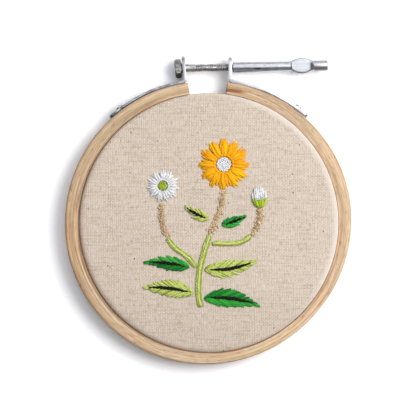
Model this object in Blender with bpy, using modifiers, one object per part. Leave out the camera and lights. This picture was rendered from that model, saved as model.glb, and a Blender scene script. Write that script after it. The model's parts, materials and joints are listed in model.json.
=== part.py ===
"""Embroidery hoop with a stitched posy on linen, lying on its back, in metres with +Z up.

The origin is under the middle of the whole piece, on the surface that it rests on.
+Z points out of the cloth's front, and +Y points to the clamp at the hoop's top.
"""

import math

import bmesh
import bpy
import numpy as np
from mathutils import Matrix, Vector

MM = 0.001
GAP = 0.3 * MM

# Outer ring, a bent beech strip that is split at the top.
RING_RADIUS = 56.25 * MM
RING_BORE = 51.1 * MM
RING_DEPTH = 9.5 * MM
RING_EDGE = 1.2 * MM
SPLIT_LEFT_DEG = 8.3
SPLIT_RIGHT_DEG = 7.5
RING_SIDES = 80

# Linen, drawn over the inner ring and down between the rings.
CLOTH_THICKNESS = 1.0 * MM
CLOTH_TOP = 9.0 * MM
CLOTH_ROLL = 2.5 * MM
CLOTH_TRIM = 0.9 * MM

# Inner ring, a closed beech strip inside the linen.
INNER_RING_WIDTH = 4.8 * MM
INNER_RING_EDGE = 0.6 * MM

# Clamp brackets: steel sheet, a strap along the outer ring and an ear that stands up from it.
SHEET = 1.3 * MM
STRAP_WIDTH = 6.6 * MM
STRAP_CORNER = 1.5 * MM
STRAP_REACH_DEG = 43.0
EAR_CORNER = 3.0 * MM
EAR_TOP = 65.7 * MM
BEND = 1.6 * MM
LEFT_EAR_X = 9.4 * MM
LEFT_EAR_LEAN_DEG = 5.0
RIGHT_EAR_X = 8.55 * MM
RIGHT_EAR_LEAN_DEG = 0.0

# Rivets through the straps into the wood.
RIVET_DEG = 37.8
RIVET_HEAD_RADIUS = 1.6 * MM
RIVET_HEAD_HEIGHT = 0.7 * MM
RIVET_SHANK_RADIUS = 0.9 * MM
RIVET_BITE = 3.2 * MM

# Clamp screw and its long nut, on an axis that rises a little to the right.
AXIS_HEIGHT = 61.2 * MM
AXIS_TILT_DEG = 1.2
SCREW_RADIUS = 1.5 * MM
SCREW_CORE_RADIUS = 1.2 * MM
THREAD_PITCH = 0.7 * MM
THREAD_START = -5.3 * MM
THREAD_END = 9.3 * MM
SCREW_END = 19.5 * MM
SCREW_SIDES = 12
HEAD_THICKNESS = 3.3 * MM
HEAD_RADIUS = 3.75 * MM
NUT_BORE_RADIUS = SCREW_CORE_RADIUS + GAP
NUT_SIDES = 20
# Columns: distance along the screw, half width across the grip, half thickness, in millimetres.
NUT_SECTIONS_MM = (
    (9.6, 1.95, 1.95),
    (9.8, 2.15, 2.15),
    (32.0, 1.88, 1.88),
    (32.7, 2.10, 1.55),
    (34.6, 2.85, 1.30),
    (36.9, 3.15, 1.30),
    (39.0, 2.75, 1.30),
    (40.1, 2.30, 1.30),
    (41.5, 1.98, 1.98),
    (46.6, 1.98, 1.98),
    (47.0, 1.65, 1.65),
)

# Stitched posy: thread lies in low pads on the linen. Places are from the ring's centre, in millimetres.
PAD_HEIGHT = 0.6 * MM
KNOT_HEIGHT = 1.2 * MM
STEM_STEPS = 12
LEAF_STEPS = 10
# Columns: name, start, two guide points, end, width, thread.
STEMS_MM = (
    ("stem_main_low", (-3.0, -33.0), (-5.5, -24.0), (-3.0, -14.0), (0.5, -5.0), 1.7, "green"),
    ("stem_main_high", (0.7, -4.4), (3.4, 2.0), (5.8, 6.0), (6.0, 12.3), 2.1, "tan"),
    ("stem_left_low", (-5.2, -17.5), (-7.5, -11.5), (-13.5, -12.0), (-16.0, -6.0), 1.4, "green"),
    ("stem_left_high", (-16.3, -5.3), (-18.2, -0.5), (-18.6, 3.5), (-18.3, 7.6), 1.9, "tan"),
    ("stem_right_low", (1.4, -8.0), (5.5, -7.5), (12.5, -10.0), (16.6, -5.0), 1.4, "green"),
    ("stem_right_high", (17.1, -4.4), (20.0, -1.0), (20.6, 2.0), (20.4, 5.2), 1.9, "tan"),
)
# Columns: name, foot, direction in degrees, length, width, bow of the midrib, thread.
LEAVES_MM = (
    ("leaf_low_right", (-1.6, -29.6), -8.0, 22.0, 7.2, 1.5, "green_dark"),
    ("leaf_low_left", (-6.0, -27.6), 174.0, 20.0, 6.8, -1.0, "green"),
    ("leaf_middle_right", (-1.4, -18.4), 10.0, 21.0, 6.6, -1.2, "green"),
    ("leaf_middle_left", (-7.6, -17.4), 174.0, 18.0, 5.6, -0.8, "green_dark"),
    ("leaf_high_right", (5.4, -0.6), 20.0, 10.0, 4.2, -0.6, "green_dark"),
    ("leaf_high_left", (0.2, 1.6), 152.0, 10.5, 4.2, 0.6, "green"),
)
# Columns: name, centre, petals, reach, eye radius, petal thread, eye thread.
DAISIES_MM = (
    ("daisy_orange", (6.0, 23.0), 12, 10.2, 3.3, "orange", "white"),
    ("daisy_white", (-18.0, 14.6), 11, 6.5, 2.1, "white", "lime"),
)
PETAL_STEPS = 6
PETAL_NOTCH = 0.22
BUD_FOOT_MM = (20.4, 5.7)
BUD_HEIGHT_MM = 9.0
BUD_WIDTH_MM = 6.0
BUD_LEAN_DEG = -6.0
CALYX_SHARE = 0.42

# The hoop's centre, so that the origin is midway between the ear tops and the ring's lowest point.
HOOP_Y = (RING_RADIUS - EAR_TOP) / 2
MID_DEPTH = RING_DEPTH / 2

for leftover in list(bpy.data.objects):
    bpy.data.objects.remove(leftover)

parts = bpy.data.collections.new("hoop_embroidery")
cutters = bpy.data.collections.new("cutters")
bpy.context.scene.collection.children.link(parts)
bpy.context.scene.collection.children.link(cutters)


def linear(red, green, blue):
    """A screen colour from 0 to 255 as the linear colour that a shader takes."""
    screen = np.array((red, green, blue)) / 255
    light = np.where(screen < 0.04045, screen / 12.92, ((screen + 0.055) / 1.055) ** 2.4)
    return (*light.tolist(), 1.0)


def finish(name, colour, roughness, metallic=0.0):
    material = bpy.data.materials.new(name)
    material.use_nodes = True
    shader = material.node_tree.nodes["Principled BSDF"]
    shader.inputs["Base Color"].default_value = linear(*colour)
    shader.inputs["Roughness"].default_value = roughness
    shader.inputs["Metallic"].default_value = metallic
    material.diffuse_color = linear(*colour)
    return material


WOOD = finish("beech", (222, 184, 142), 0.55)
INNER_WOOD = finish("beech_inner", (214, 178, 138), 0.6)
LINEN = finish("linen", (222, 207, 192), 0.9)
ZINC = finish("zinc_plate", (205, 206, 208), 0.3, 1.0)
DULL_STEEL = finish("dull_steel", (140, 138, 132), 0.5, 1.0)
BRIGHT_STEEL = finish("bright_steel", (215, 216, 220), 0.22, 1.0)
THREADS = {
    "orange": finish("thread_orange", (255, 172, 12), 0.6),
    "white": finish("thread_white", (244, 242, 238), 0.65),
    "lime": finish("thread_lime", (176, 196, 40), 0.6),
    "green": finish("thread_green", (164, 190, 62), 0.6),
    "green_dark": finish("thread_green_dark", (22, 132, 58), 0.6),
    "tan": finish("thread_tan", (200, 166, 118), 0.8),
}


def empty(name, location, turn_z=0.0, parent=None):
    """A reference point that the pieces around it are placed from."""
    point = bpy.data.objects.new(name, None)
    point.location = location
    point.rotation_euler.z = turn_z
    point.parent = parent
    parts.objects.link(point)
    return point


hoop = empty("hoop_centre", (0, HOOP_Y, 0))
clamp = empty("clamp_axis", (0, AXIS_HEIGHT, MID_DEPTH), math.radians(AXIS_TILT_DEG), hoop)


def piece(name, data, material, parent=hoop, group=parts):
    part = bpy.data.objects.new(name, data)
    part.parent = parent
    group.objects.link(part)
    if material:
        data.materials.append(material)
    if group is cutters:
        part.hide_render = True
        part.display_type = "WIRE"
    return part


def smooth(mesh, sharp_deg=40.0):
    mesh.shade_smooth()
    mesh.set_sharp_from_angle(angle=math.radians(sharp_deg))


def arc(centre, radius, start_deg, end_deg, steps):
    """Points on a circle from one angle to another, both ends included."""
    turn = np.radians(np.linspace(start_deg, end_deg, steps + 1))
    return [(centre[0] + radius * math.cos(a), centre[1] + radius * math.sin(a)) for a in turn]


def rounded_section(inner, outer, low, high, edge, top_outer_edge):
    """A ring's cross-section with round corners, clockwise from its inner top corner."""
    return [
        *arc((inner + edge, high - edge), edge, 180, 90, 2),
        *arc((outer - top_outer_edge, high - top_outer_edge), top_outer_edge, 90, 0, 2),
        *arc((outer - edge, low + edge), edge, 0, -90, 2),
        *arc((inner + edge, low + edge), edge, -90, -180, 2),
    ]


def turned(name, profile, material, closed, sides=RING_SIDES):
    """A profile of (radius, height) points, turned about Z by a Screw modifier."""
    mesh = bpy.data.meshes.new(name)
    links = [(i, i + 1) for i in range(len(profile) - 1)]
    if closed:
        links.append((len(profile) - 1, 0))
    mesh.from_pydata([(r, 0, z) for r, z in profile], links, [])
    part = piece(name, mesh, material)
    screw = part.modifiers.new("Turn", "SCREW")
    screw.axis = "Z"
    screw.steps = sides
    screw.render_steps = sides
    screw.use_smooth_shade = True
    screw.use_merge_vertices = True
    screw.merge_threshold = 0.00001
    return part


def cut(part, cutter, name):
    modifier = part.modifiers.new(name, "BOOLEAN")
    modifier.operation = "DIFFERENCE"
    modifier.object = cutter


def drill(name, radius, start, end, sides, parent):
    """A cutter: a cylinder along its parent's local X from start to end."""
    shape = bmesh.new()
    bmesh.ops.create_cone(
        shape, cap_ends=True, segments=sides, radius1=radius, radius2=radius, depth=end - start
    )
    bmesh.ops.transform(shape, matrix=Matrix.Rotation(math.pi / 2, 4, "Y"), verts=shape.verts)
    bmesh.ops.translate(shape, vec=((start + end) / 2, 0, 0), verts=shape.verts)
    mesh = bpy.data.meshes.new(name)
    shape.to_mesh(mesh)
    shape.free()
    return piece(name, mesh, None, parent, cutters)


def flat_outline(name, outlines, thickness, material, group=parts):
    """Closed outlines in the hoop's plane, filled and given a thickness; a second outline is a hole."""
    curve = bpy.data.curves.new(name, "CURVE")
    curve.dimensions = "2D"
    curve.fill_mode = "BOTH"
    curve.extrude = thickness / 2
    for outline in outlines:
        spline = curve.splines.new("POLY")
        spline.points.add(len(outline) - 1)
        for point, (x, y) in zip(spline.points, outline):
            point.co = (x, y, 0, 1)
        spline.use_cyclic_u = True
    return piece(name, curve, material, hoop, group)


def as_mesh(part):
    """The curve object turned into a mesh object with its caps welded on, under the same parent."""
    name = part.name
    parent = part.parent
    place = part.matrix_basis.copy()
    group = part.users_collection[0]
    graph = bpy.context.evaluated_depsgraph_get()
    mesh = bpy.data.meshes.new_from_object(part.evaluated_get(graph))
    shape = bmesh.new()
    shape.from_mesh(mesh)
    bmesh.ops.remove_doubles(shape, verts=shape.verts, dist=0.00001)
    bmesh.ops.recalc_face_normals(shape, faces=shape.faces)
    shape.to_mesh(mesh)
    shape.free()
    bpy.data.objects.remove(part)
    solid = piece(name, mesh, None, parent, group)
    solid.matrix_basis = place
    return solid


# Rings and linen, turned about the hoop's centre.
cloth_radius = RING_BORE - GAP
inner_ring_radius = cloth_radius - CLOTH_THICKNESS - GAP
inner_ring_top = CLOTH_TOP - CLOTH_THICKNESS - GAP
roll_centre = (cloth_radius - CLOTH_ROLL, CLOTH_TOP - CLOTH_ROLL)
roll_inside = CLOTH_ROLL - CLOTH_THICKNESS

outer_ring = turned(
    "outer_ring", rounded_section(RING_BORE, RING_RADIUS, 0, RING_DEPTH, RING_EDGE, RING_EDGE), WOOD, True
)
inner_ring = turned(
    "inner_ring",
    rounded_section(
        inner_ring_radius - INNER_RING_WIDTH,
        inner_ring_radius,
        0,
        inner_ring_top,
        INNER_RING_EDGE,
        roll_inside - GAP,
    ),
    INNER_WOOD,
    True,
)
cloth_profile = [
    (0, CLOTH_TOP),
    *arc(roll_centre, CLOTH_ROLL, 90, 0, 4),
    (cloth_radius, CLOTH_TRIM),
    (cloth_radius - CLOTH_THICKNESS, CLOTH_TRIM),
    *arc(roll_centre, roll_inside, 0, 90, 3),
    (0, CLOTH_TOP - CLOTH_THICKNESS),
]
cloth = turned("cloth", cloth_profile, LINEN, False)

# The split: a wedge from the hoop's centre, taken out of the outer ring.
beyond_ring = RING_RADIUS * 1.3
split_left = math.radians(SPLIT_LEFT_DEG)
split_right = math.radians(SPLIT_RIGHT_DEG)
wedge = flat_outline(
    "split_cutter",
    [
        (
            (0, 0),
            (-beyond_ring * math.tan(split_left), beyond_ring),
            (beyond_ring * math.tan(split_right), beyond_ring),
        )
    ],
    RING_DEPTH * 2,
    None,
    cutters,
)
wedge = as_mesh(wedge)
wedge.location.z = MID_DEPTH
cut(outer_ring, wedge, "Split")


def bracket_path(ear_x, lean_deg):
    """The middle line of a right-hand bracket: along the ring, round the bend, up the ear to its top.

    The bend's centre is one bend radius from the ear's line and from the strap's circle.
    """
    strap_radius = RING_RADIUS + GAP + SHEET / 2
    lean = math.radians(lean_deg)
    up = Vector((math.sin(lean), math.cos(lean)))
    out = Vector((math.cos(lean), -math.sin(lean)))
    start = Vector((ear_x, AXIS_HEIGHT)) + BEND * out
    along = start.dot(up)
    reach = strap_radius + BEND
    bend_centre = start + up * (-along + math.sqrt(along**2 - start.length_squared + reach**2))
    foot_deg = math.degrees(math.atan2(bend_centre.x, bend_centre.y))
    strap = arc((0, 0), strap_radius, 90 - STRAP_REACH_DEG, 90 - foot_deg, 10)
    bend = arc(bend_centre, BEND, 270 - foot_deg, 180 - lean_deg, 4)
    ear_foot = Vector(bend[-1])
    ear_end = ear_foot + up * ((EAR_TOP - ear_foot.y) / up.y)
    return [*strap, *bend[1:], tuple(ear_end)]


def bracket(name, side, ear_x, lean_deg):
    """A ribbon along the path, its four corners rounded, then given the sheet's thickness."""
    path = [(side * x, y) for x, y in bracket_path(ear_x, lean_deg)]
    curve = bpy.data.curves.new(name, "CURVE")
    curve.dimensions = "3D"
    curve.extrude = STRAP_WIDTH / 2
    spline = curve.splines.new("POLY")
    spline.points.add(len(path) - 1)
    for point, (x, y) in zip(spline.points, path):
        point.co = (x, y, 0, 1)
    part = as_mesh(piece(name, curve, None))
    part.location.z = MID_DEPTH
    part.data.materials.append(ZINC)
    shape = bmesh.new()
    shape.from_mesh(part.data)
    for (x, y), round_off in ((path[0], STRAP_CORNER), (path[-1], EAR_CORNER)):
        corners = [v for v in shape.verts if abs(v.co.x - x) + abs(v.co.y - y) < GAP]
        bmesh.ops.bevel(
            shape, geom=corners, offset=round_off, segments=4, profile=0.5, affect="VERTICES"
        )
    shape.to_mesh(part.data)
    shape.free()
    solid = part.modifiers.new("Sheet", "SOLIDIFY")
    solid.thickness = SHEET
    solid.offset = 0
    return part


left_bracket = bracket("left_bracket", -1, LEFT_EAR_X, LEFT_EAR_LEAN_DEG)
right_bracket = bracket("right_bracket", 1, RIGHT_EAR_X, RIGHT_EAR_LEAN_DEG)

screw_hole = drill("screw_hole_cutter", SCREW_RADIUS + GAP, -15 * MM, 15 * MM, NUT_SIDES, clamp)
cut(left_bracket, screw_hole, "Screw hole")
cut(right_bracket, screw_hole, "Screw hole")

# Rivets: a domed head outside the strap and a shank through it into the wood.
strap_face = RING_RADIUS + GAP + SHEET
head_foot = strap_face + GAP
shank_end = RING_RADIUS - RIVET_BITE
rivet_profile = [
    (0, head_foot + RIVET_HEAD_HEIGHT),
    (RIVET_HEAD_RADIUS * 0.6, head_foot + RIVET_HEAD_HEIGHT * 0.85),
    (RIVET_HEAD_RADIUS, head_foot + RIVET_HEAD_HEIGHT * 0.3),
    (RIVET_HEAD_RADIUS, head_foot),
    (RIVET_SHANK_RADIUS, head_foot),
    (RIVET_SHANK_RADIUS, shank_end),
    (0, shank_end),
]
for side_name, side, strap in (("left", -1, left_bracket), ("right", 1, right_bracket)):
    rivet_turn = side * math.radians(RIVET_DEG)
    rivet = turned(side_name + "_rivet", rivet_profile, DULL_STEEL, False, SCREW_SIDES)
    rivet.location.z = MID_DEPTH
    rivet.rotation_euler = (-math.pi / 2, 0, -rivet_turn)
    radial = empty(side_name + "_rivet_line", (0, 0, MID_DEPTH), math.pi / 2 - rivet_turn, hoop)
    hole = drill(
        side_name + "_rivet_cutter",
        RIVET_SHANK_RADIUS + GAP,
        shank_end - GAP,
        strap_face + GAP,
        SCREW_SIDES,
        radial,
    )
    cut(strap, hole, "Rivet hole")
    cut(outer_ring, hole, side_name.title() + " rivet hole")


def loft(name, rings, material, parent):
    """Rings of points joined in turn, with a flat cap at each end; the first ring is at the low X end."""
    sides = len(rings[0])
    steps = len(rings)
    low = np.arange((steps - 1) * sides).reshape(steps - 1, sides)
    side_faces = np.stack(
        (low, np.roll(low, -1, 1), np.roll(low, -1, 1) + sides, low + sides), axis=-1
    ).reshape(-1, 4)
    caps = (
        tuple(range(sides - 1, -1, -1)),
        tuple(range((steps - 1) * sides, steps * sides)),
    )
    mesh = bpy.data.meshes.new(name)
    mesh.from_pydata(np.concatenate(rings).tolist(), [], [*side_faces.tolist(), *caps])
    smooth(mesh)
    return piece(name, mesh, material, parent)


def round_turn(sides):
    return np.arange(sides) * (2 * math.pi / sides)


def screw_rings():
    """The shank, then a helical thread whose ridge climbs one pitch a turn, then the core in the nut."""
    turn = round_turn(SCREW_SIDES)
    shank_start = -LEFT_EAR_X - HEAD_THICKNESS
    threaded = np.arange(THREAD_START, THREAD_END, THREAD_PITCH / 4)
    rings = []
    for x in (shank_start, *threaded, THREAD_END, SCREW_END):
        if x < THREAD_START:
            radius = np.full(SCREW_SIDES, SCREW_RADIUS)
        elif x < THREAD_END:
            phase = (x / THREAD_PITCH - turn / (2 * math.pi)) % 1
            ridge = np.abs(2 * phase - 1)
            radius = SCREW_CORE_RADIUS + (SCREW_RADIUS - SCREW_CORE_RADIUS) * ridge
        else:
            radius = np.full(SCREW_SIDES, SCREW_CORE_RADIUS)
        rings.append(np.stack((np.full(SCREW_SIDES, x), radius * np.cos(turn), radius * np.sin(turn)), 1))
    return rings


# Screw: the rod and its six-sided head, which lies against the leaning left ear.
clamp_screw = loft("clamp_screw", screw_rings(), DULL_STEEL, clamp)
ear_outside = -LEFT_EAR_X - SHEET / 2 - GAP
head_shape = bmesh.new()
bmesh.ops.create_cone(
    head_shape,
    cap_ends=True,
    segments=6,
    radius1=HEAD_RADIUS,
    radius2=HEAD_RADIUS,
    depth=HEAD_THICKNESS,
)
bmesh.ops.translate(head_shape, vec=(0, 0, -HEAD_THICKNESS / 2), verts=head_shape.verts)
head_tilt = math.radians(LEFT_EAR_LEAN_DEG - AXIS_TILT_DEG)
head_place = (
    Matrix.Translation((ear_outside, 0, 0))
    @ Matrix.Rotation(head_tilt, 4, "Z")
    @ Matrix.Rotation(math.pi / 2, 4, "Y")
    @ Matrix.Rotation(math.pi / 2, 4, "Z")
)
bmesh.ops.transform(head_shape, matrix=head_place, verts=head_shape.verts)
head_mesh = bpy.data.meshes.new("screw_head")
head_shape.to_mesh(head_mesh)
head_shape.free()
screw_head = piece("screw_head", head_mesh, None, clamp, cutters)
join = clamp_screw.modifiers.new("Head", "BOOLEAN")
join.operation = "UNION"
join.object = screw_head

# Nut: a long sleeve over the screw's end, pressed flat into a grip, with a round tip.
nut_turn = round_turn(NUT_SIDES)
nut_rings = []
for x_mm, half_width_mm, half_thickness_mm in NUT_SECTIONS_MM:
    nut_rings.append(
        np.stack(
            (
                np.full(NUT_SIDES, x_mm),
                half_width_mm * np.cos(nut_turn),
                half_thickness_mm * np.sin(nut_turn),
            ),
            1,
        )
        * MM
    )
sleeve_nut = loft("sleeve_nut", nut_rings, BRIGHT_STEEL, clamp)
nut_bore = drill(
    "nut_bore_cutter", NUT_BORE_RADIUS, NUT_SECTIONS_MM[0][0] * MM - GAP, SCREW_END + GAP, SCREW_SIDES, clamp
)
cut(sleeve_nut, nut_bore, "Bore")


def pad(name, outlines_mm, height, thread):
    """A low pad of stitches whose underside is just above the linen."""
    outlines = [[(x * MM, y * MM) for x, y in outline] for outline in outlines_mm]
    part = flat_outline(name, outlines, height, THREADS[thread])
    part.location.z = CLOTH_TOP + GAP + height / 2
    return part


def bow(start, guide_a, guide_b, end, steps):
    """Points and left-hand normals along a cubic curve with two guide points."""
    t = np.linspace(0, 1, steps + 1)[:, None]
    a, b, c, d = (np.array(p) for p in (start, guide_a, guide_b, end))
    point = (1 - t) ** 3 * a + 3 * (1 - t) ** 2 * t * b + 3 * (1 - t) * t**2 * c + t**3 * d
    slope = 3 * (1 - t) ** 2 * (b - a) + 6 * (1 - t) * t * (c - b) + 3 * t**2 * (d - c)
    slope /= np.linalg.norm(slope, axis=1)[:, None]
    return point, np.stack((-slope[:, 1], slope[:, 0]), 1)


def stem(name, start, guide_a, guide_b, end, width, thread):
    middle, normal = bow(start, guide_a, guide_b, end, STEM_STEPS)
    outline = np.concatenate((middle + normal * width / 2, (middle - normal * width / 2)[::-1]))
    pad(name, [outline.tolist()], PAD_HEIGHT, thread)


def leaf(name, foot, direction_deg, length, width, bend, thread):
    """A lens on a bowed midrib: half its width times the sine of pi times the share of the length to 0.8."""
    share = np.linspace(0, 1, LEAF_STEPS + 1)
    half = width / 2 * np.sin(math.pi * share**0.8)
    middle = bend * 4 * share * (1 - share)
    upper = np.stack((length * share, middle + half), 1)
    lower = np.stack((length * share, middle - half), 1)[1:-1][::-1]
    turn = math.radians(direction_deg)
    spin = np.array(((math.cos(turn), math.sin(turn)), (-math.sin(turn), math.cos(turn))))
    outline = np.concatenate((upper, lower)) @ spin + np.array(foot)
    pad(name, [outline.tolist()], PAD_HEIGHT, thread)


def daisy(name, centre, petals, reach, eye, petal_thread, eye_thread):
    """Petals in one ring with notched tips, round an eye of knots that stands higher."""
    turn = round_turn(petals * PETAL_STEPS)
    tip = np.abs(np.cos(petals * turn / 2)) ** 0.6
    edge = reach * (1 - PETAL_NOTCH + PETAL_NOTCH * tip)
    rim = np.stack((centre[0] + edge * np.cos(turn), centre[1] + edge * np.sin(turn)), 1)
    inside = arc(centre, eye, 360, 360 / 18, 17)
    pad(name + "_petals", [rim.tolist(), inside], PAD_HEIGHT, petal_thread)
    pad(name + "_eye", [arc(centre, eye - GAP / MM, 360 / 18, 360, 17)], KNOT_HEIGHT, eye_thread)


def bud():
    """A closed bud: an egg outline, split across into a lime calyx below and white petals above."""
    lean = math.radians(BUD_LEAN_DEG)
    spin = np.array(((math.cos(lean), math.sin(lean)), (-math.sin(lean), math.cos(lean))))
    for name, low, high, thread in (
        ("bud_calyx", 0.0, CALYX_SHARE, "lime"),
        ("bud_petals", CALYX_SHARE + GAP / MM / BUD_HEIGHT_MM, 1.0, "white"),
    ):
        share = np.linspace(low, high, LEAF_STEPS)
        half = BUD_WIDTH_MM / 2 * np.sqrt(np.sin(math.pi * np.clip(share, 0.03, 0.97) ** 1.15))
        right = np.stack((half, BUD_HEIGHT_MM * share), 1)
        left = np.stack((-half, BUD_HEIGHT_MM * share), 1)[::-1]
        outline = np.concatenate((right, left)) @ spin + np.array(BUD_FOOT_MM)
        pad(name, [outline.tolist()], PAD_HEIGHT, thread)


for row in STEMS_MM:
    stem(*row)
for row in LEAVES_MM:
    leaf(*row)
for row in DAISIES_MM:
    daisy(*row)
bud()
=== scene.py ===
import json
import math

import bmesh
import bpy
import numpy as np
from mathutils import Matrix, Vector


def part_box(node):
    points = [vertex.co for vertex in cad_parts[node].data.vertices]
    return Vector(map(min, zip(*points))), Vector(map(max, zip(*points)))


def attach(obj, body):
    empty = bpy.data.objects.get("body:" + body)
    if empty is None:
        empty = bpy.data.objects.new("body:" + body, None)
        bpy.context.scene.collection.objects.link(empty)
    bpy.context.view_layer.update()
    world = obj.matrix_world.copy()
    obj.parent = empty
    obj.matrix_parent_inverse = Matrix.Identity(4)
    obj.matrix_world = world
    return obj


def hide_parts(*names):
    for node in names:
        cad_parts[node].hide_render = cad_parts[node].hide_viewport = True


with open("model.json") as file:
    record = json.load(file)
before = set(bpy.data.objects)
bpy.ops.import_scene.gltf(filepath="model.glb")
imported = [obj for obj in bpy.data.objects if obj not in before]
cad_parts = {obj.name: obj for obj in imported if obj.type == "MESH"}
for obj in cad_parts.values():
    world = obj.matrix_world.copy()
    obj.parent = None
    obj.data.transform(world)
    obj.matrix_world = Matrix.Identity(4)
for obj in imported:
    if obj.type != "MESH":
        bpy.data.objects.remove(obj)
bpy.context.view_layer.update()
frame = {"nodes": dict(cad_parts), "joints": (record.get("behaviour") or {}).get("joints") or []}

# Camera, straight above the hoop as in the photograph. The hoop lies on its back, +Z out of the cloth and
# +Y to the clamp. The frame is 416 pixels wide, and the middle that all the round pieces share lies a
# little below the frame's middle.
MM = 0.001
ring_low, ring_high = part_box("outer_ring")
ring_radius = (ring_high.x - ring_low.x) / 2
ring_middle = np.array((0.0, ring_low.y + ring_radius, 0.0))
ring_depth = ring_high.z
PIXEL = 0.3927 * MM
FRAME_PIXELS = 416
RING_MIDDLE_PIXEL = (208.5, 223.0)
CAMERA_HEIGHT = 1.2
SENSOR_WIDTH = 36.0
camera = bpy.data.objects.new("camera", bpy.data.cameras.new("camera"))
camera.location = (
    (FRAME_PIXELS / 2 - RING_MIDDLE_PIXEL[0]) * PIXEL,
    ring_middle[1] + (RING_MIDDLE_PIXEL[1] - FRAME_PIXELS / 2) * PIXEL,
    ring_depth + CAMERA_HEIGHT,
)
camera.data.sensor_width = SENSOR_WIDTH
camera.data.lens = SENSOR_WIDTH * CAMERA_HEIGHT / (FRAME_PIXELS * PIXEL)
camera.data.clip_start = 0.01
bpy.context.scene.collection.objects.link(camera)
bpy.context.scene.camera = camera
bpy.context.scene.view_settings.view_transform = "Standard"

# Floor and light: a white sheet of paper under a broad soft light from the upper right, so that a soft
# shadow falls to the left and below. Steel reflects a grey room with a bright window overhead.
MATT_LIGHT = 1.24


def screen(red, green, blue, light=1.0):
    """A screen colour from 0 to 255 as the linear colour that a shader takes, under a light of this
    brightness."""
    value = np.array((red, green, blue)) / 255
    linear = np.where(value < 0.04045, value / 12.92, ((value + 0.055) / 1.055) ** 2.4) / light
    return tuple(linear.tolist())


def dyed(red, green, blue):
    """The colour of a matt surface that shows this screen colour in the light below."""
    return screen(red, green, blue, MATT_LIGHT)


def opaque(tone):
    """A grey, or red, green and blue, with full opacity."""
    return (tone,) * 3 + (1.0,) if isinstance(tone, (int, float)) else (*tone, 1.0)


class Paint:
    """A node tree and short names for what is added to it. A value is a number, a colour, or the output of
    another node."""

    def __init__(self, tree):
        self.tree = tree

    def put(self, value, place):
        if isinstance(value, (int, float, tuple)):
            place.default_value = opaque(value) if place.type == "RGBA" else value
        else:
            self.tree.links.new(value, place)

    def node(self, kind, *values, **settings):
        """A node of a kind. A setting goes to the input or the property of its name, and the values go to
        the first inputs."""
        made = self.tree.nodes.new("ShaderNode" + kind)
        for key, value in settings.items():
            if key in made.inputs:
                self.put(value, made.inputs[key])
            else:
                setattr(made, key, value)
        for place, value in zip(made.inputs, values):
            self.put(value, place)
        return made

    def sums(self, operation, *values):
        return self.node("Math", *values, operation=operation).outputs[0]

    def line(self, value, slope, start=0.0):
        """value * slope + start."""
        return self.sums("MULTIPLY_ADD", value, slope, start)

    def product(self, first, *values):
        for value in values:
            first = self.sums("MULTIPLY", first, value)
        return first

    def held(self, value, low=0.0, high=1.0):
        return self.sums("MAXIMUM", self.sums("MINIMUM", value, high), low)

    def rise(self, value, none, full, low=0.0, high=1.0):
        """A share that is 0 where a value is none and 1 where it is full, on a straight line held between
        low and high."""
        slope = 1 / (full - none)
        return self.held(self.line(value, slope, -none * slope), low, high)

    def between(self, share, first, second):
        """A number between two others."""
        made = self.node("Mix", share, data_type="FLOAT")
        self.put(first, made.inputs[2])
        self.put(second, made.inputs[3])
        return made.outputs[0]

    def mixed(self, share, first, second, kind="MIX"):
        """A colour between two others."""
        made = self.node("Mix", share, data_type="RGBA", blend_type=kind)
        self.put(first, made.inputs[6])
        self.put(second, made.inputs[7])
        return made.outputs[2]

    def toned(self, colour, tone, share=1.0):
        """A colour multiplied by a tone, or by a share of it."""
        return self.mixed(share, colour, tone, "MULTIPLY")

    def ramp(self, value, *stops):
        """A colour ramp over a value; a stop is a place from 0 to 1 and a grey or a colour."""
        made = self.node("ValToRGB", value)
        while len(made.color_ramp.elements) < len(stops):
            made.color_ramp.elements.new(0.5)
        for element, (place, tone) in zip(made.color_ramp.elements, stops):
            element.position = place
            element.color = opaque(tone)
        return made.outputs[0]

    def noise(self, source, scale, detail=2.0, rough=0.5):
        """A noise over a vector that is scaled along each axis, so it is drawn out where the scale is low."""
        spread = self.node("Mapping", Vector=source, Scale=scale).outputs[0]
        return self.node("TexNoise", Vector=spread, Scale=1.0, Detail=detail, Roughness=rough).outputs[0]

    def attribute(self, name):
        return self.node("Attribute", attribute_name=name).outputs["Vector"]

    def own_place(self):
        return self.node("TexCoord").outputs["Object"]

    def parts(self, vector):
        """A vector's three numbers."""
        return self.node("SeparateXYZ", vector).outputs

    def surface(self, colour, height=None, strength=0.0, depth=0.0, roughness=None):
        """Joins a colour, bumps and a roughness to the surface shader."""
        inputs = self.tree.nodes["Principled BSDF"].inputs
        self.put(colour, inputs["Base Color"])
        if height is not None:
            bump = self.node("Bump", Strength=strength, Distance=depth, Height=height)
            self.put(bump.outputs[0], inputs["Normal"])
        if roughness is not None:
            self.put(roughness, inputs["Roughness"])


def finish(name, roughness, metallic=0.0, specular=0.5, sheen=0.0):
    """A new material with its shader's own values set, and the paint for its node tree."""
    material = bpy.data.materials.new(name)
    material.use_nodes = True
    inputs = material.node_tree.nodes["Principled BSDF"].inputs
    inputs["Roughness"].default_value = roughness
    inputs["Metallic"].default_value = metallic
    inputs["Specular IOR Level"].default_value = specular
    inputs["Sheen Weight"].default_value = sheen
    return material, Paint(material.node_tree)


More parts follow.
